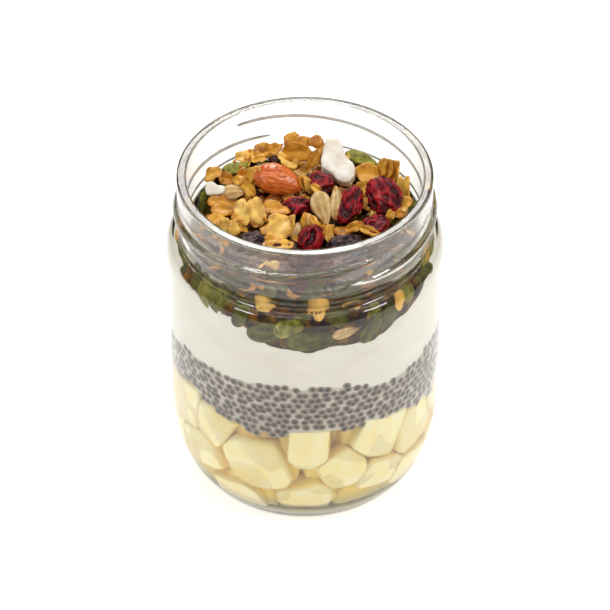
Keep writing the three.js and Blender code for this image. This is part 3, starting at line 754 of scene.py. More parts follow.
def floor_level(share, angle):
    """The height of the jar's floor, a little into the glass."""
    return np.full_like(share * angle, FLOOR - FLOOR_CONTACT)


def fruit_core_form():
    """More fruit deeper in, with an uneven side."""
    core = fill_form(raised(floor_level, FRUIT_CORE_RISE), fruit_top, -FRUIT_CORE_INSET, *FRUIT_CORE_MESH)
    rough = bumps(core.points, FRUIT_CORE_BUMP_SIZE)
    core.points[:, :2] *= 1 + FRUIT_CORE_BUMP * rough[:, None]
    return core._replace(marks={"tone": 0.5 + 0.5 * rough})


# Chia pudding

def chia_places(contact):
    """Angle and height of the soaked seeds against the glass, clear of the fruit."""
    random = np.random.default_rng(CHIA_PLACE_DRAW)
    columns = round(2 * math.pi * INSIDE.body / CHIA_COLUMN)
    heights = np.arange(CHIA_LOW.min() - 1, CHIA_HIGH.max() + 2, CHIA_ROW)
    row, column = np.meshgrid(np.arange(len(heights)), np.arange(columns), indexing="ij")
    shift = random.normal(0, CHIA_SHIFT, (2, *row.shape))
    turn = (column + row % 2 / 2) * 2 * math.pi / columns + shift[0] / INSIDE.body
    z = heights[:, None] + shift[1]
    stray = random.uniform(*CHIA_STRAY, row.shape)
    inside = (z > fruit_line(turn) - CHIA_DIP) & (z < chia_line(turn) + stray)
    turn, z = turn[inside], z[inside]
    clear = distances(around(INSIDE.body, turn, z), contact) > CHIA_CLEAR
    return turn[clear], z[clear]


def chia_seed_form(turns, heights):
    """Soaked chia seeds against the glass, marked by their own tone and how deep each point lies."""
    random = np.random.default_rng(CHIA_SIZE_DRAW)
    directions, faces = ball(CHIA_STEPS)
    forms = []
    for turn, z in zip(turns, heights):
        size = CHIA_SEED * random.uniform(*CHIA_SCALES)
        out = INSIDE.body + SEED_CONTACT - size[2]
        middle = (out * math.cos(turn), out * math.sin(turn), z)
        flat = directions * size
        points = flat @ facing_frame(math.degrees(turn), 0, random.uniform(0, 180)).T + middle
        marks = {"deep": size[2] - flat[:, 2], "tone": np.full(len(points), random.uniform(0, 1))}
        forms.append(Form(points, faces, marks))
    return joined(forms)


def chia_gel_form(turns, heights):
    """The gel between the seeds, with the distance of each point to the nearest seed."""
    gel = fill_form(fruit_top, chia_top, GEL_CONTACT, *GEL_MESH)
    return gel._replace(marks={"near": distances(gel.points, around(INSIDE.body, turns, heights))})


# Granola

def food_form(points, faces, edge, random):
    """A piece of granola with its marks: nearness to its edge, its own tone, and how well lit it is."""
    marks = {"edge": edge, "tone": np.full(len(points), random.uniform(0, 1)), "lit": np.ones(len(points))}
    return Form(points, faces, marks)


def flake_form(length, width, thick, random):
    """A rolled oat flake: a creased oval with a split edge, curled like a shell."""
    share = np.linspace(0, 1, FLAKE_RINGS + 1)[1:, None]
    turn = np.linspace(0, 2 * math.pi, FLAKE_STEPS, endpoint=False)[None]
    phase = random.uniform(0, 2 * math.pi, 5)
    uneven = 1.0
    for start, (count, depth) in zip(phase, FLAKE_WAVES):
        uneven = uneven + depth * np.cos(count * turn + start)
    from_split = np.mod(turn - phase[3] + math.pi, 2 * math.pi) - math.pi
    split = np.exp(-((from_split / FLAKE_SPLIT_WIDTH) ** 2))
    uneven = uneven - random.uniform(*FLAKE_SPLIT) * split * share**2
    x = length / 2 * share * np.cos(turn) * uneven
    y = width / 2 * share * np.sin(turn) * uneven
    crease = FLAKE_CREASE * np.exp(-((y / (FLAKE_CREASE_WIDTH * width)) ** 2))
    crease = crease * (1 - 0.8 * (2 * x / length) ** 2)
    body = thick / 2 * np.sqrt(np.clip(1.04 - share**2, 0, 1)) * (1 - crease)
    curl, fold = random.uniform(*FLAKE_CURL), random.uniform(*FLAKE_FOLD)
    ruffle = FLAKE_RUFFLE * share**3 * np.cos(4 * turn + phase[4])
    bend = curl * y**2 + fold * x**2 + ruffle
    bend = bend - bend.mean()
    under = np.stack((x, y, bend - body), -1).reshape(-1, 3)
    over = np.stack((x, y, bend + body), -1)[::-1].reshape(-1, 3)
    middle = bend[0].mean()
    points = np.vstack(((0, 0, middle - thick / 5), under, over, (0, 0, middle + thick / 5)))
    edge = np.concatenate(((0,), np.repeat(share, FLAKE_STEPS), np.repeat(share[::-1], FLAKE_STEPS), (0,)))
    return food_form(points, turned_faces(2 * FLAKE_RINGS, FLAKE_STEPS), edge, random)


def seed_form(length, width, thick, point, rim, ridge, random):
    """A flat seed: round at one end, pointed at the other, with a raised rim or ridges along it."""
    directions, faces = ball(SEED_STEPS)
    x, y = directions[:, 0], directions[:, 1]
    narrow = 1 - point * np.clip((x + 1) / 2, 0, 1) ** SEED_TAPER
    flat = np.sign(directions[:, 2]) * np.abs(directions[:, 2]) ** SEED_FLATNESS
    points = np.stack((x * length / 2, y * narrow * width / 2, flat * narrow * thick / 2), 1)
    edge = np.hypot(x, y)
    stripes = np.cos(SEED_STRIPES * y)
    points[:, 2] *= 1 + rim * np.exp(-(((edge - SEED_RIM) / SEED_RIM_WIDTH) ** 2)) + ridge * stripes
    points += SEED_BUMP * own_bumps(points, SEED_BUMP_SIZE, random)[:, None] * directions
    points[:, 2] += random.uniform(*SEED_BEND) * points[:, 0] ** 2
    return food_form(points, faces, 0.5 + 0.5 * stripes if ridge else edge, random)


def dried_form(size, random):
    """A small wrinkled dried fruit."""
    directions, faces = ball(DRIED_STEPS)
    fold = np.abs(own_bumps(directions, DRIED_FOLD_SIZE, random))
    points = directions * size / 2 * (DRIED_BODY + DRIED_FOLD * fold)[:, None]
    return food_form(points, faces, fold, random)


def crumb_form(size, random):
    """A broken lump of oat."""
    directions, faces = ball(CRUMB_STEPS)
    rough = own_bumps(directions, CRUMB_BUMP_SIZE, random)
    points = directions * size / 2 * (1 + CRUMB_BUMP * rough)[:, None]
    return food_form(points, faces, 0.5 - 0.5 * rough, random)


def granola_piece(kind, random, scale=1.0):
    """One piece of granola of a kind, flat in its own plane."""
    if kind == "pumpkin":
        size = PUMPKIN_SEED * random.uniform(*PUMPKIN_SCALES) * scale
        return seed_form(*size, *PUMPKIN_SHAPE, random)
    if kind == "sunflower":
        size = SUNFLOWER_SEED * random.uniform(*SUNFLOWER_SCALES) * scale
        return seed_form(*size, *SUNFLOWER_SHAPE, random)
    if kind in ("raisin", "berry"):
        return dried_form(DRIED_FRUIT * random.uniform(*DRIED_SCALES) * scale, random)
    if kind == "crumb":
        return crumb_form(CRUMB * random.uniform(*CRUMB_SCALES, 3) * scale, random)
    return flake_form(*(OAT_FLAKE * random.uniform(*OAT_SCALES, 3) * scale), random)


def wall_places(random):
    """Where pieces lie against the glass, listed one by one at the front and in rows behind."""
    places = [(*hero, WALL_SINK * (i // WALL_GROUP)) for i, hero in enumerate(WALL_HEROES)]
    for row, (above, count) in enumerate(WALL_ROWS):
        for i in range(count):
            shift = random.uniform(-WALL_ROWS_SHIFT, WALL_ROWS_SHIFT)
            angle = WALL_ROWS_START + WALL_ROWS_SPAN * (i + row % 2 / 2) / count + shift
            level = float(yogurt_line(np.radians(np.array((angle,))))[0])
            kind = WALL_KINDS[(3 * row + i) % len(WALL_KINDS)]
            tilt = random.uniform(-WALL_ROWS_TILT, WALL_ROWS_TILT)
            height = min(level + above, WALL_TOP)
            places.append((kind, angle, height, tilt, WALL_ROWS_SCALE, WALL_SINK * (i % 2)))
    return places


def wall_pieces(granola, random):
    """Adds the pieces that lie against the glass, bent to it and less lit where they lift off it."""
    for kind, angle, height, tilt, scale, sink in wall_places(random):
        form = granola_piece(kind, random, scale)
        along, up, out = (form.points @ turning((0, 0, tilt)).T).T
        z = height + up
        flattening = WALL_FLAKE_FLATTENING if kind == "oat" else WALL_FLATTENING
        radius = inside_radius(z) + WALL_PRESS + flattening * (out - out.max()) - sink
        turn = math.radians(angle) + along / float(inside_radius(height))
        points = around(radius, turn, z)
        form.marks["lit"][:] = past_wall(points) / WALL_PRESS + sink
        form.marks["tone"][:] = random.uniform(*(WALL_FLAKE_TONES if kind == "oat" else WALL_TONES))
        if kind == "raisin":
            form.marks["edge"][:] *= WALL_RAISIN_SHADE
        granola[kind].append(form._replace(points=at_wall(points, PIECE_CONTACT)))


class Heap:
    """The height of the heap's top over the jar's mouth, raised by each piece that is laid on it."""

    def __init__(self):
        self.half = INSIDE.neck + 1
        cells = int(2 * self.half / HEAP_CELL) + 1
        place = np.linspace(-self.half, self.half, cells)
        x, y = np.meshgrid(place, place, indexing="ij")
        share = np.hypot(x, y) / INSIDE.neck
        self.top = heap_top(share, np.arctan2(y, x)) - HEAP_BED

    def cells(self, points):
        """The grid cells at points."""
        index = np.round((points[:, :2] + self.half) / HEAP_CELL).astype(int)
        return tuple(np.clip(index, 0, len(self.top) - 1).T)

    def settle(self, points):
        """Drops points straight down until they lie on the heap, partly sunk in."""
        gap = points[:, 2] - self.top[self.cells(points)]
        points[:, 2] -= np.quantile(gap, HEAP_SINK)
        return points

    def add(self, points):
        """Raises the heap to points that lie higher."""
        np.maximum.at(self.top, self.cells(points), points[:, 2])


class Toppings:
    """The larger toppings as rounded boxes along their own axes, which granola keeps clear of."""

    def __init__(self, names):
        self.boxes = []
        for name in names:
            points = node_points(name)
            middle = (points.min(0) + points.max(0)) / 2
            axes = np.linalg.svd(points - middle, full_matrices=False)[2]
            self.boxes.append((middle, axes, np.abs((points - middle) @ axes.T).max(0)))

    def touch(self, points):
        """Whether any of the points lies in a topping."""
        for middle, axes, half in self.boxes:
            share = (points - middle) @ axes.T / half
            if ((share**2).sum(1) < TOPPING_SHARE).any():
                return True
        return False


def loose_kind(i, share, y):
    """What lies at a spot of the heap: seeds at its edge, dried fruit at the front, else oats."""
    if y < HEAP_FRONT and share > HEAP_FRONT_RIM:
        return ("pumpkin", "oat")[i % 2]
    if y < HEAP_FRONT:
        return ("raisin", "raisin", "berry")[i % 3]
    if share > HEAP_BACK_RIM and y > 0 and i % 3 == 0:
        return "pumpkin"
    return "sunflower" if i % SUNFLOWER_EVERY == SUNFLOWER_FIRST else "oat"


def loose_pieces(granola, heap, toppings, random):
    """Covers the heap with pieces that lie where they fall."""
    for i in range(HEAP_FLAKES):
        share = math.sqrt((i + 0.5) / HEAP_FLAKES)
        angle = i * math.radians(GOLDEN_ANGLE)
        x, y = share * (INSIDE.neck - HEAP_MARGIN) * np.array((math.cos(angle), math.sin(angle)))
        kind = loose_kind(i, share, y)
        form = granola_piece(kind, random, LOOSE_SCALE)
        turn = turning((*random.normal(0, LOOSE_TILT, 2), random.uniform(0, 360)))
        points = at_wall(heap.settle(form.points @ turn.T + (x, y, 0)), 0)
        if not toppings.touch(points):
            heap.add(points)
            # Painted shade on the loose pieces that lie lower in the heap
            form.marks["tone"][:] *= LOOSE_PAINTED_SHADE
            granola[kind].append(form._replace(points=points))


def hero_pieces(granola, heap, random):
    """Adds the pieces that are listed one by one for the heap."""
    for kind, places in HEROES.items():
        for x, y, z, facing, rise, spin, length, width, *tone in places:
            form = granola_piece(kind, random)
            long, wide, _ = np.ptp(form.points, axis=0)
            points = form.points * (length / long, width / wide, 1)
            points = at_wall(points @ facing_frame(facing, rise, spin).T + (x, y, z), 0)
            heap.add(points)
            if tone:
                form.marks["tone"][:] = tone
            granola[kind].append(form._replace(points=points))


def crumbs(granola, heap, toppings, random):
    """Adds small broken bits of oat between the larger pieces."""
    for _ in range(CRUMBS):
        radius = INSIDE.neck * CRUMB_SPREAD * math.sqrt(random.uniform(0, 1))
        angle = random.uniform(0, 2 * math.pi)
        form = granola_piece("crumb", random)
        points = form.points @ turning(random.uniform(0, 360, 3)).T
        points += (radius * math.cos(angle), radius * math.sin(angle), 0)
        points = at_wall(heap.settle(points), 0)
        if points[:, 1].mean() > HEAP_FRONT and not toppings.touch(points):
            granola["crumb"].append(form._replace(points=points))


def granola_core_form():
    """What lies deeper in the heap, rough on top and just touching the glass."""
    core = fill_form(yogurt_top, raised(heap_top, -CORE_DROP), GRANOLA_CONTACT, *GRANOLA_CORE_MESH)
    rough = bumps(core.points, CORE_BUMP_SIZE, 3)
    free = (core.points[:, 2] > CORE_BUMP_FROM) & (past_wall(core.points) < -1)
    core.points[:, 2] += CORE_BUMP * rough * free
    patches = 0.5 + 0.5 * bumps(core.points, CORE_PATCH_SIZE)
    return core._replace(marks={"tone": patches, "height": core.points[:, 2]})


def granola_forms(toppings):
    """All pieces of granola by kind."""
    random = np.random.default_rng(GRANOLA_DRAW)
    granola = {kind: [] for kind in HEROES}
    heap = Heap()
    wall_pieces(granola, random)
    loose_pieces(granola, heap, toppings, random)
    hero_pieces(granola, heap, random)
    crumbs(granola, heap, toppings, random)
    return {kind: joined(forms) for kind, forms in granola.items()}


# Toppings

def refined(solid, voxel, smoothing):
    """A topping's solid with fine even faces and soft edges."""
    source = added("refining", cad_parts[solid].data.copy())
    remesh = source.modifiers.new("even", "REMESH")
    remesh.mode = "VOXEL"
    remesh.voxel_size = voxel * MM
    smooth = source.modifiers.new("soft", "SMOOTH")
    smooth.factor = 0.5
    smooth.iterations = smoothing
    depsgraph = bpy.context.evaluated_depsgraph_get()
    mesh = bpy.data.meshes.new_from_object(source.evaluated_get(depsgraph))
    faces = [tuple(polygon.vertices) for polygon in mesh.polygons]
    bpy.data.objects.remove(source)
    return vertex_values(mesh, "co").astype(float) / MM, vertex_values(mesh, "normal").astype(float), faces


def own_axes(points):
    """Points of a topping along its own long, middle and short axis."""
    middle = points.mean(0)
    axes = np.linalg.svd(points - middle, full_matrices=False)[2]
    return (points - middle) @ axes.T


def almond_form():
    """The almond, with the uneven furrows of its skin along it."""
    points, normals, faces = refined("almond", *ALMOND_MESH)
    own = own_axes(points)
    round_it = np.arctan2(own[:, 2], own[:, 1])
    wander = bumps(own, ALMOND_WANDER_SIZE)
    furrow = np.abs(np.sin(ALMOND_FURROWS * round_it + ALMOND_WANDER * wander)) ** 0.5
    fade = np.clip(ALMOND_FADE - np.abs(own[:, 0]) / np.abs(own[:, 0]).max(), 0, 1)
    height = ALMOND_FURROW_DEPTH * (furrow - 1) * fade + ALMOND_GRAIN * bumps(points, ALMOND_GRAIN_SIZE)
    points = points + normals * height[:, None]
    return Form(points, faces, {"fold": furrow})


def wrinkled_form(solid, size, depth):
    """A dried berry with folds of that size and depth in its skin."""
    points, normals, faces = refined(solid, *BERRY_MESH)
    own = own_axes(points)
    stretched = own * BERRY_STRETCH + points.mean(0)
    ridge = 1 - np.abs(bumps(stretched, size)) * BERRY_RIDGE
    fine = bumps(stretched, size / BERRY_FINENESS)
    height = depth * (ridge - BERRY_LEVEL) + BERRY_GRAIN * depth * fine
    points = points + normals * height[:, None]
    return Form(points, faces, {"fold": np.clip(ridge, 0, 1), "lit": np.ones(len(points))})


def coconut_form(solid):
    """A chunk of coconut with soft broken edges."""
    points, normals, faces = refined(solid, *COCONUT_MESH)
    dent = bumps(points, COCONUT_DENT_SIZE)
    height = COCONUT_DENT * dent + COCONUT_GRAIN * bumps(points, COCONUT_GRAIN_SIZE)
    points = points + normals * height[:, None]
    return Form(points, faces, {"fold": 0.5 + 0.5 * dent})


# Materials

def node(tree, kind, inputs, **settings):
    """A shader node with its inputs set to values or linked to other nodes' outputs."""
    made = tree.nodes.new("ShaderNode" + kind)
    for name, value in settings.items():
        setattr(made, name, value)
    for name, value in inputs.items():
        if isinstance(value, bpy.types.NodeSocket):
            tree.links.new(value, made.inputs[name])
        else:
            made.inputs[name].default_value = value
    return made


def new_material(name, sockets):
    """A material with constant values on its main shader's sockets."""
    made = bpy.data.materials.new(name)
    made.use_nodes = True
    shader = made.node_tree.nodes[MAIN_SHADER]
    for socket, value in sockets.items():
        shader.inputs[socket].default_value = value
    return made, made.node_tree


def mark(tree, name, low=0.0, high=1.0):
    """A mesh's mark, mapped from between low and high to between 0 and 1."""
    value = node(tree, "Attribute", {}, attribute_name=name).outputs["Fac"]
    return node(tree, "MapRange", {"Value": value, "From Min": low, "From Max": high}).outputs["Result"]


def height_share(tree, low, high, most=1.0):
    """A share that grows from 0 at one height to its most at another."""
    place = node(tree, "TexCoord", {}).outputs["Object"]
    height = node(tree, "SeparateXYZ", {"Vector": place}).outputs["Z"]
    span = {"Value": height, "From Min": low * MM, "From Max": high * MM, "To Max": most}
    return node(tree, "MapRange", span).outputs["Result"]


def grain(tree, size, detail=3.0, stretch=(1, 1, 1)):
    """Noise from 0 to 1 with grains of about that size."""
    place = node(tree, "TexCoord", {}).outputs["Object"]
    scaled = node(tree, "Mapping", {"Vector": place, "Scale": stretch}).outputs["Vector"]
    inputs = {"Vector": scaled, "Scale": 1 / (size * MM), "Detail": detail}
    return node(tree, "TexNoise", inputs).outputs["Fac"]


def ramp(tree, factor, *stops):
    """A colour that changes with a factor, through stops of a position and a screen colour."""
    made = node(tree, "ValToRGB", {"Fac": factor})
    elements = made.color_ramp.elements
    while len(elements) < len(stops):
        elements.new(0.5)
    for element, (position, colour) in zip(elements, stops):
        element.position = position
        element.color = srgb(*colour)
    return made.outputs["Color"]


def blended(tree, factor, first, second, blend="MIX"):
    """Two colours mixed by a factor."""
    made = node(tree, "Mix", {0: factor}, data_type="RGBA", blend_type=blend)
    tree.links.new(first, made.inputs[6])
    tree.links.new(second, made.inputs[7])
    return made.outputs[2]


def times(tree, first, second):
    """Two colours multiplied."""
    return blended(tree, 1.0, first, second, "MULTIPLY")


def mottled(tree, colour, size, dark, stretch=(1, 1, 1)):
    """A colour with darker patches of about that size."""
    patches = ramp(tree, grain(tree, size, 4.0, stretch), (0.3, dark), (0.68, WHITE))
    return times(tree, colour, patches)


def shaded(tree, colour):
    """A colour that darkens where a piece is less lit."""
    shade = ramp(tree, mark(tree, "lit"), (0.0, (84, 72, 50)), (0.3, (200, 194, 180)), (0.6, WHITE))
    return times(tree, colour, shade)


def relief(tree, height, depth, strength):
    """Links a fine relief to the main shader."""
    bump = node(tree, "Bump", {"Height": height, "Distance": depth * MM, "Strength": strength})
    tree.links.new(bump.outputs["Normal"], tree.nodes[MAIN_SHADER].inputs["Normal"])


def finished(made, tree, colour, size, depth):
    """Links the colour and a fine relief of that grain size and depth."""
    tree.links.new(colour, tree.nodes[MAIN_SHADER].inputs["Base Color"])
    relief(tree, grain(tree, size, 4.0), depth, 0.6)
    return made


def moist(roughness, softness, red, green, blue):
    """Sockets of moist food that lets light in, with the distances that its colours travel."""
    return {
        "Roughness": roughness, "Subsurface Weight": softness, "Subsurface Scale": MM,
        "Subsurface Radius": (red, green, blue), "Specular IOR Level": 0.3,
    }


def glazed(roughness, coat, shine=0.35):
    """Sockets of food with a glossy skin."""
    return {
        "Roughness": roughness, "Coat Weight": coat, "Coat Roughness": 0.18, "Specular IOR Level": shine,
    }


def see_through(made, tree, tint, density, ripple, straight):
    """Finishes a clear material: slight ripples, a tint that grows with depth, no dark shadows, and the
    share of light that goes straight on."""
    relief(tree, grain(tree, 16, 1.0), ripple, 0.25)
    path = node(tree, "LightPath", {}).outputs
    soft = node(tree, "Math", {0: path["Is Shadow Ray"], 1: path["Is Diffuse Ray"]}, operation="MAXIMUM")
    share = node(tree, "Math", {0: soft.outputs[0], 1: straight}, operation="MAXIMUM")
    through = node(tree, "BsdfTransparent", {})
    main = tree.nodes[MAIN_SHADER].outputs[0]
    mixed = node(tree, "MixShader", {0: share.outputs[0], 1: main, 2: through.outputs[0]})
    depth = node(tree, "VolumeAbsorption", {"Color": tint, "Density": density})
    output = tree.nodes["Material Output"]
    tree.links.new(mixed.outputs[0], output.inputs["Surface"])
    tree.links.new(depth.outputs[0], output.inputs["Volume"])
    return made


def glass_material():
    """Clear glass with a faint grey depth, whose neck lets some light straight through."""
    made, tree = new_material("clear_glass", {
        "Base Color": (0.99, 0.99, 0.985, 1), "Roughness": 0.01, "IOR": 1.5, "Transmission Weight": 1.0,
    })
    neck = height_share(tree, WALL_TOP, HEAP_EDGE, STRAIGHT_SHARE)
    return see_through(made, tree, (0.63, 0.6, 0.5, 1), 85.0, 0.16, neck)


def fruit_tone(tree, colour):
    """A fruit colour that turns beige towards the bottom of the jar."""
    rise = height_share(tree, *BEIGE_FRUIT)
    beige = ramp(tree, grain(tree, 5), (0.3, (192, 182, 160)), (0.7, (206, 198, 180)))
    return blended(tree, rise, beige, colour)


def fruit_material(name, softness):
    """Pale moist fruit flesh, with golden painted shade where it lies further back from the glass."""
    made, tree = new_material(name, moist(0.35, softness, 4, 3, 1.2))
    pale = ramp(tree, grain(tree, 7, 4.0), (0.3, (255, 240, 182)), (0.7, (255, 247, 212)))
    # Painted shade: the flesh turns golden where it lies further back from the glass, in the gaps between
    # pieces
    deep = ramp(
        tree, mark(tree, "press", -6, 1),
        (0.0, (255, 238, 160)), (0.5, (255, 243, 190)), (0.75, (255, 248, 220)), (0.9, WHITE),
    )
    flesh = mottled(tree, times(tree, pale, deep), 3, (255, 246, 222), (1, 1, 0.5))
    return finished(made, tree, fruit_tone(tree, flesh), 1.4, 0.12)


def fruit_core_material():
    """Fruit deeper in, painted golden as painted shade of the front pieces."""
    made, tree = new_material("fruit_deep", moist(0.35, 0.0, 1, 1, 1))
    tone = ramp(tree, mark(tree, "tone"), (0.2, (255, 230, 140)), (0.8, (255, 240, 176)))
    return finished(made, tree, fruit_tone(tree, tone), 2, 0.3)


def juice_material():
    """Clear golden fruit juice."""
    made, tree = new_material("fruit_juice", {
        "Roughness": 0.0, "IOR": 1.36, "Transmission Weight": 1.0,
    })
    return see_through(made, tree, (1.0, 0.98, 0.62, 1), 80.0, 0.05, 0.0)


def gel_material():
    """Grey-beige gel, lightest midway between the seeds."""
    made, tree = new_material("chia_gel", moist(0.3, 0.1, 2, 2, 2))
    tone = ramp(
        tree, mark(tree, "near", 0.9, 1.5),
        (0.0, (172, 162, 151)), (0.5, (195, 186, 175)), (1.0, (208, 200, 190)),
    )
    return finished(made, tree, mottled(tree, tone, 7, (224, 220, 216)), 0.8, 0.12)


def chia_seed_material():
    """Soaked seeds, each a dark spot in a grey halo."""
    made, tree = new_material("chia_seed", moist(0.3, 0.0, 1, 1, 1))
    halo = ramp(
        tree, mark(tree, "deep", 0.0, SEED_CONTACT - GEL_CONTACT),
        (0.02, (54, 46, 41)), (0.14, (98, 89, 82)), (0.4, (148, 138, 129)), (0.9, (180, 170, 159)),
    )
    own = ramp(tree, mark(tree, "tone"), (0.0, (222,) * 3), (1.0, WHITE))
    colour = times(tree, halo, own)
    return finished(made, tree, mottled(tree, colour, 0.7, (226, 223, 220)), 0.4, 0.1)


def yogurt_material():
    """Smooth creamy yogurt with faint streaks."""
    made, tree = new_material("yogurt_cream", moist(0.4, 0.2, 3, 2, 1.5))
    streak = grain(tree, 12, 3.0, (1, 1, 2.2))
    colour = ramp(tree, streak, (0.3, (230, 226, 214)), (0.7, (238, 235, 226)))
    return finished(made, tree, colour, 5, 0.06)


def oat_material():
    """Toasted oats under a honey glaze, browner in patches and at their edges."""
    made, tree = new_material("toasted_oat", glazed(0.34, 0.2))
    tone = ramp(
        tree, mark(tree, "tone"),
        (0.0, (164, 94, 20)), (0.35, (206, 142, 38)), (0.7, (238, 188, 78)), (1.0, (254, 220, 126)),
    )
    toast = ramp(tree, grain(tree, 2.4, 4.0), (0.38, (158, 98, 32)), (0.62, (255, 242, 206)))
    colour = blended(tree, mark(tree, "edge", -0.3, 1.5), tone, toast, "MULTIPLY")
    return finished(made, tree, shaded(tree, colour), 0.9, 0.26)


def pumpkin_material():
    """Glossy olive pumpkin seeds."""
    made, tree = new_material("pumpkin_seed", glazed(0.35, 0.06, 0.1))
    tone = ramp(tree, mark(tree, "tone"), (0.0, (84, 82, 20)), (0.6, (124, 120, 32)), (1.0, (186, 178, 84)))
    # Lighter on the raised rim as a painted highlight. Darker at the very edge, partly the seed's own
    # darker edge and partly painted outline shade
    rim = ramp(tree, mark(tree, "edge"), (0.5, (214, 216, 200)), (0.84, WHITE), (1.0, (150, 140, 96)))
    colour = times(tree, tone, rim)
    return finished(made, tree, shaded(tree, mottled(tree, colour, 2.2, (122, 122, 92))), 0.7, 0.12)


def sunflower_material():
    """Beige sunflower kernels with darker streaks."""
    made, tree = new_material("sunflower_seed", glazed(0.35, 0.2))
    tone = ramp(
        tree, mark(tree, "edge"),
        (0.0, (196, 160, 100)), (0.5, (212, 180, 120)), (1.0, (226, 198, 144)),
    )
    return finished(made, tree, shaded(tree, mottled(tree, tone, 1.8, (214, 198, 172))), 0.8, 0.1)


def core_material():
    """Granola deeper in the heap, olive and brown with painted dark gaps, and painted shade that is lighter
    low down and darkest towards the heap's top.
    """
    made, tree = new_material("granola_deep", glazed(0.6, 0.0, 0.05))
    clump = ramp(
        tree, grain(tree, 2.4, 3.0),
        (0.34, (48, 35, 14)), (0.46, (112, 88, 34)), (0.58, (166, 130, 52)), (0.68, (228, 164, 72)),
    )
    green = ramp(tree, mark(tree, "tone"), (0.35, (255, 236, 210)), (0.65, (206, 214, 170)))
    rise = mark(tree, "height", HEAP_EDGE - 6, HEAP_EDGE)
    shade = ramp(tree, rise, (0.0, (180, 166, 140)), (1.0, (112, 98, 78)))
    colour = times(tree, times(tree, clump, green), shade)
    return finished(made, tree, colour, 1.6, 0.5)


def almond_material():
    """Glossy orange-brown almond skin, with painted shade in its furrows."""
    made, tree = new_material("almond_skin", glazed(0.3, 0.3))
    fold = ramp(
        tree, mark(tree, "fold"),
        (0.1, (160, 68, 24)), (0.55, (206, 102, 40)), (1.0, (232, 128, 56)),
    )
    return finished(made, tree, mottled(tree, fold, 1.8, (206, 180, 164)), 0.7, 0.12)


def berry_material(name, shade, dark, middle, light):
    """Wrinkled dried fruit skin, with painted light on its folds and painted shade in the creases between.
    """
    made, tree = new_material(name, glazed(0.34, 0.1, 0.2))
    fold = ramp(tree, mark(tree, shade), (0.2, dark), (0.65, middle), (1.0, light))
    return finished(made, tree, shaded(tree, mottled(tree, fold, 2.4, (150, 128, 132))), 0.6, 0.15)


def coconut_material():
    """Waxy white coconut."""
    made, tree = new_material("coconut_flesh", moist(0.32, 0.25, 2, 1.8, 1.5))
    # Lighter where it bulges and darker in its dents: painted shade
    tone = ramp(tree, mark(tree, "fold"), (0.2, (220, 212, 198)), (0.8, (235, 230, 221)))
    return finished(made, tree, mottled(tree, tone, 3, (246, 240, 230)), 1.0, 0.1)


# Building the jar and its food

CRANBERRIES = solids("cranberry")
RAISINS = solids("raisin")
COCONUT = solids("coconut")
# Colours of the dried fruit from the creases to the tops of the folds, darker to lighter as painted shade
# and light
CRANBERRY_RED = ((70, 8, 20), (118, 14, 26), (192, 32, 40))
RAISIN_BLACK = ((26, 14, 14), (56, 36, 36), (106, 82, 80))
RAISIN_BROWN = ((56, 30, 24), (124, 84, 70), (180, 144, 126))


def build_jar():
    piece("jar_glass", jar_form(), glass_material(), "glass", "jar")


def build_layers():
    fruit, behind = fruit_forms()
    contact = fruit.points[fruit.marks["press"] > 0]
    piece("fruit_chunks", fruit, fruit_material("fruit_flesh", 0.35), "fruit", "diced_fruit")
    piece("fruit_behind", behind, fruit_material("fruit_shade", 0.0), "fruit", "diced_fruit")
    piece("fruit_core", fruit_core_form(), fruit_core_material(), "fruit", "diced_fruit")
    juice = fill_form(floor_level, raised(fruit_top, JUICE_RISE), JUICE_CONTACT, *FILL_MESH)
    piece("fruit_juice", juice, juice_material(), "fruit", "diced_fruit")
    seeds = chia_places(contact)
    piece("chia_seeds", chia_seed_form(*seeds), chia_seed_material(), "chia", "chia_pudding")
    piece("chia_gel", chia_gel_form(*seeds), gel_material(), "chia", "chia_pudding")
    yogurt = fill_form(chia_top, yogurt_top, YOGURT_CONTACT, *FILL_MESH)
    piece("yogurt_cream", yogurt, yogurt_material(), "yogurt", "yogurt")


def build_granola():
    toppings = Toppings(["almond", *CRANBERRIES, *RAISINS, *COCONUT])
    forms = granola_forms(toppings)
    oat = oat_material()
    brown = berry_material("raisin_bit", "edge", *RAISIN_BROWN)
    red = berry_material("cranberry_bit", "edge", *CRANBERRY_RED)
    piece("granola_core", granola_core_form(), core_material(), "granola", "granola")
    for name, kind, material, slot in (
        ("oat_flakes", "oat", oat, "granola"),
        ("oat_crumbs", "crumb", oat, "granola"),
        ("pumpkin_seeds", "pumpkin", pumpkin_material(), "granola"),
        ("sunflower_seeds", "sunflower", sunflower_material(), "granola"),
        ("raisin_bits", "raisin", brown, "raisin"),
        ("cranberry_bits", "berry", red, "cranberry"),
    ):
        piece(name, forms[kind], material, slot, "granola")


def build_toppings():
    piece("almond_nut", almond_form(), almond_material(), "almond", "almond")
    red = berry_material("cranberry_skin", "fold", *CRANBERRY_RED)
    for name in CRANBERRIES:
        piece(name + "_skin", wrinkled_form(name, *CRANBERRY_FOLDS), red, "cranberry", name)
    black = berry_material("raisin_skin", "fold", *RAISIN_BLACK)
    for name in RAISINS:
        piece(name + "_skin", wrinkled_form(name, *RAISIN_FOLDS), black, "raisin", name)
    white = coconut_material()
    for name in COCONUT:
        piece(name + "_chunk", coconut_form(name), white, "coconut", name)


# Studio

def add_camera():
    data = bpy.data.cameras.new("camera")
    data.sensor_width = SENSOR
    data.lens = LENS
    data.clip_start = 0.05
    camera = added("camera", data)
    down = math.radians(VIEW_DOWN)
    camera.location = (
        0, -VIEW_DISTANCE * math.cos(down) * MM, (VIEW_HEIGHT + VIEW_DISTANCE * math.sin(down)) * MM,
    )
    camera.rotation_euler = (math.pi / 2 - down, 0, 0)
    bpy.context.scene.camera = camera


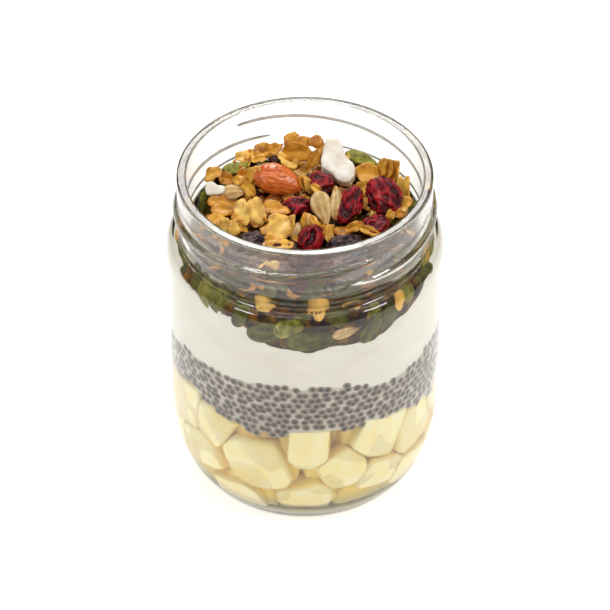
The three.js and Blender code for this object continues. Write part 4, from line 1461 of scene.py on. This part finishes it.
def add_softbox(name, place, size, power):
    """A square lamp aimed at the jar's middle."""
    data = bpy.data.lights.new(name, "AREA")
    data.size = size
    data.energy = power
    lamp = added(name, data)
    lamp.location = place
    aim = Vector((0, 0, VIEW_HEIGHT * MM)) - Vector(place)
    lamp.rotation_euler = aim.to_track_quat("-Z", "Y").to_euler()


def add_floor():
    """A plain pale floor."""
    mesh = bpy.data.meshes.new("floor")
    corners = [(x * FLOOR_HALF, y * FLOOR_HALF, 0) for x, y in ((-1, -1), (1, -1), (1, 1), (-1, 1))]
    mesh.from_pydata(corners, [], [(0, 1, 2, 3)])
    made, tree = new_material("pale_floor", {
        "Roughness": 0.7, "Specular IOR Level": 0.1,
        "Emission Color": (1, 1, 1, 1), "Emission Strength": FLOOR_GLOW,
    })
    colour = ramp(tree, grain(tree, 40), (0.3, (246, 246, 246)), (0.7, (250, 250, 250)))
    mesh.materials.append(finished(made, tree, colour, 20, 0.05))
    floor = added("floor", mesh)


def add_world():
    """A studio that is bright above and darker at the horizon, seen as plain white itself."""
    world = bpy.data.worlds.new("studio")
    world.use_nodes = True
    tree = world.node_tree
    direction = node(tree, "TexCoord", {}).outputs["Generated"]
    up = node(tree, "SeparateXYZ", {"Vector": direction}).outputs["Z"]
    shade = ramp(tree, up, (0.0, (160, 156, 150)), (0.3, (186,) * 3), (0.55, (228,) * 3), (1.0, (250,) * 3))
    path = node(tree, "LightPath", {}).outputs["Is Camera Ray"]
    seen = node(tree, "Mix", {0: path, 7: (1, 1, 1, 1)}, data_type="RGBA")
    tree.links.new(shade, seen.inputs[6])
    tree.links.new(seen.outputs[2], tree.nodes["Background"].inputs["Color"])
    tree.nodes["Background"].inputs["Strength"].default_value = STUDIO_STRENGTH
    bpy.context.scene.world = world


def add_studio():
    add_camera()
    for name, lamp in LAMPS.items():
        add_softbox(name, *lamp)
    add_floor()
    add_world()
    bpy.context.scene.view_settings.view_transform = "Standard"


add_studio()
build_jar()
build_layers()
build_granola()
build_toppings()
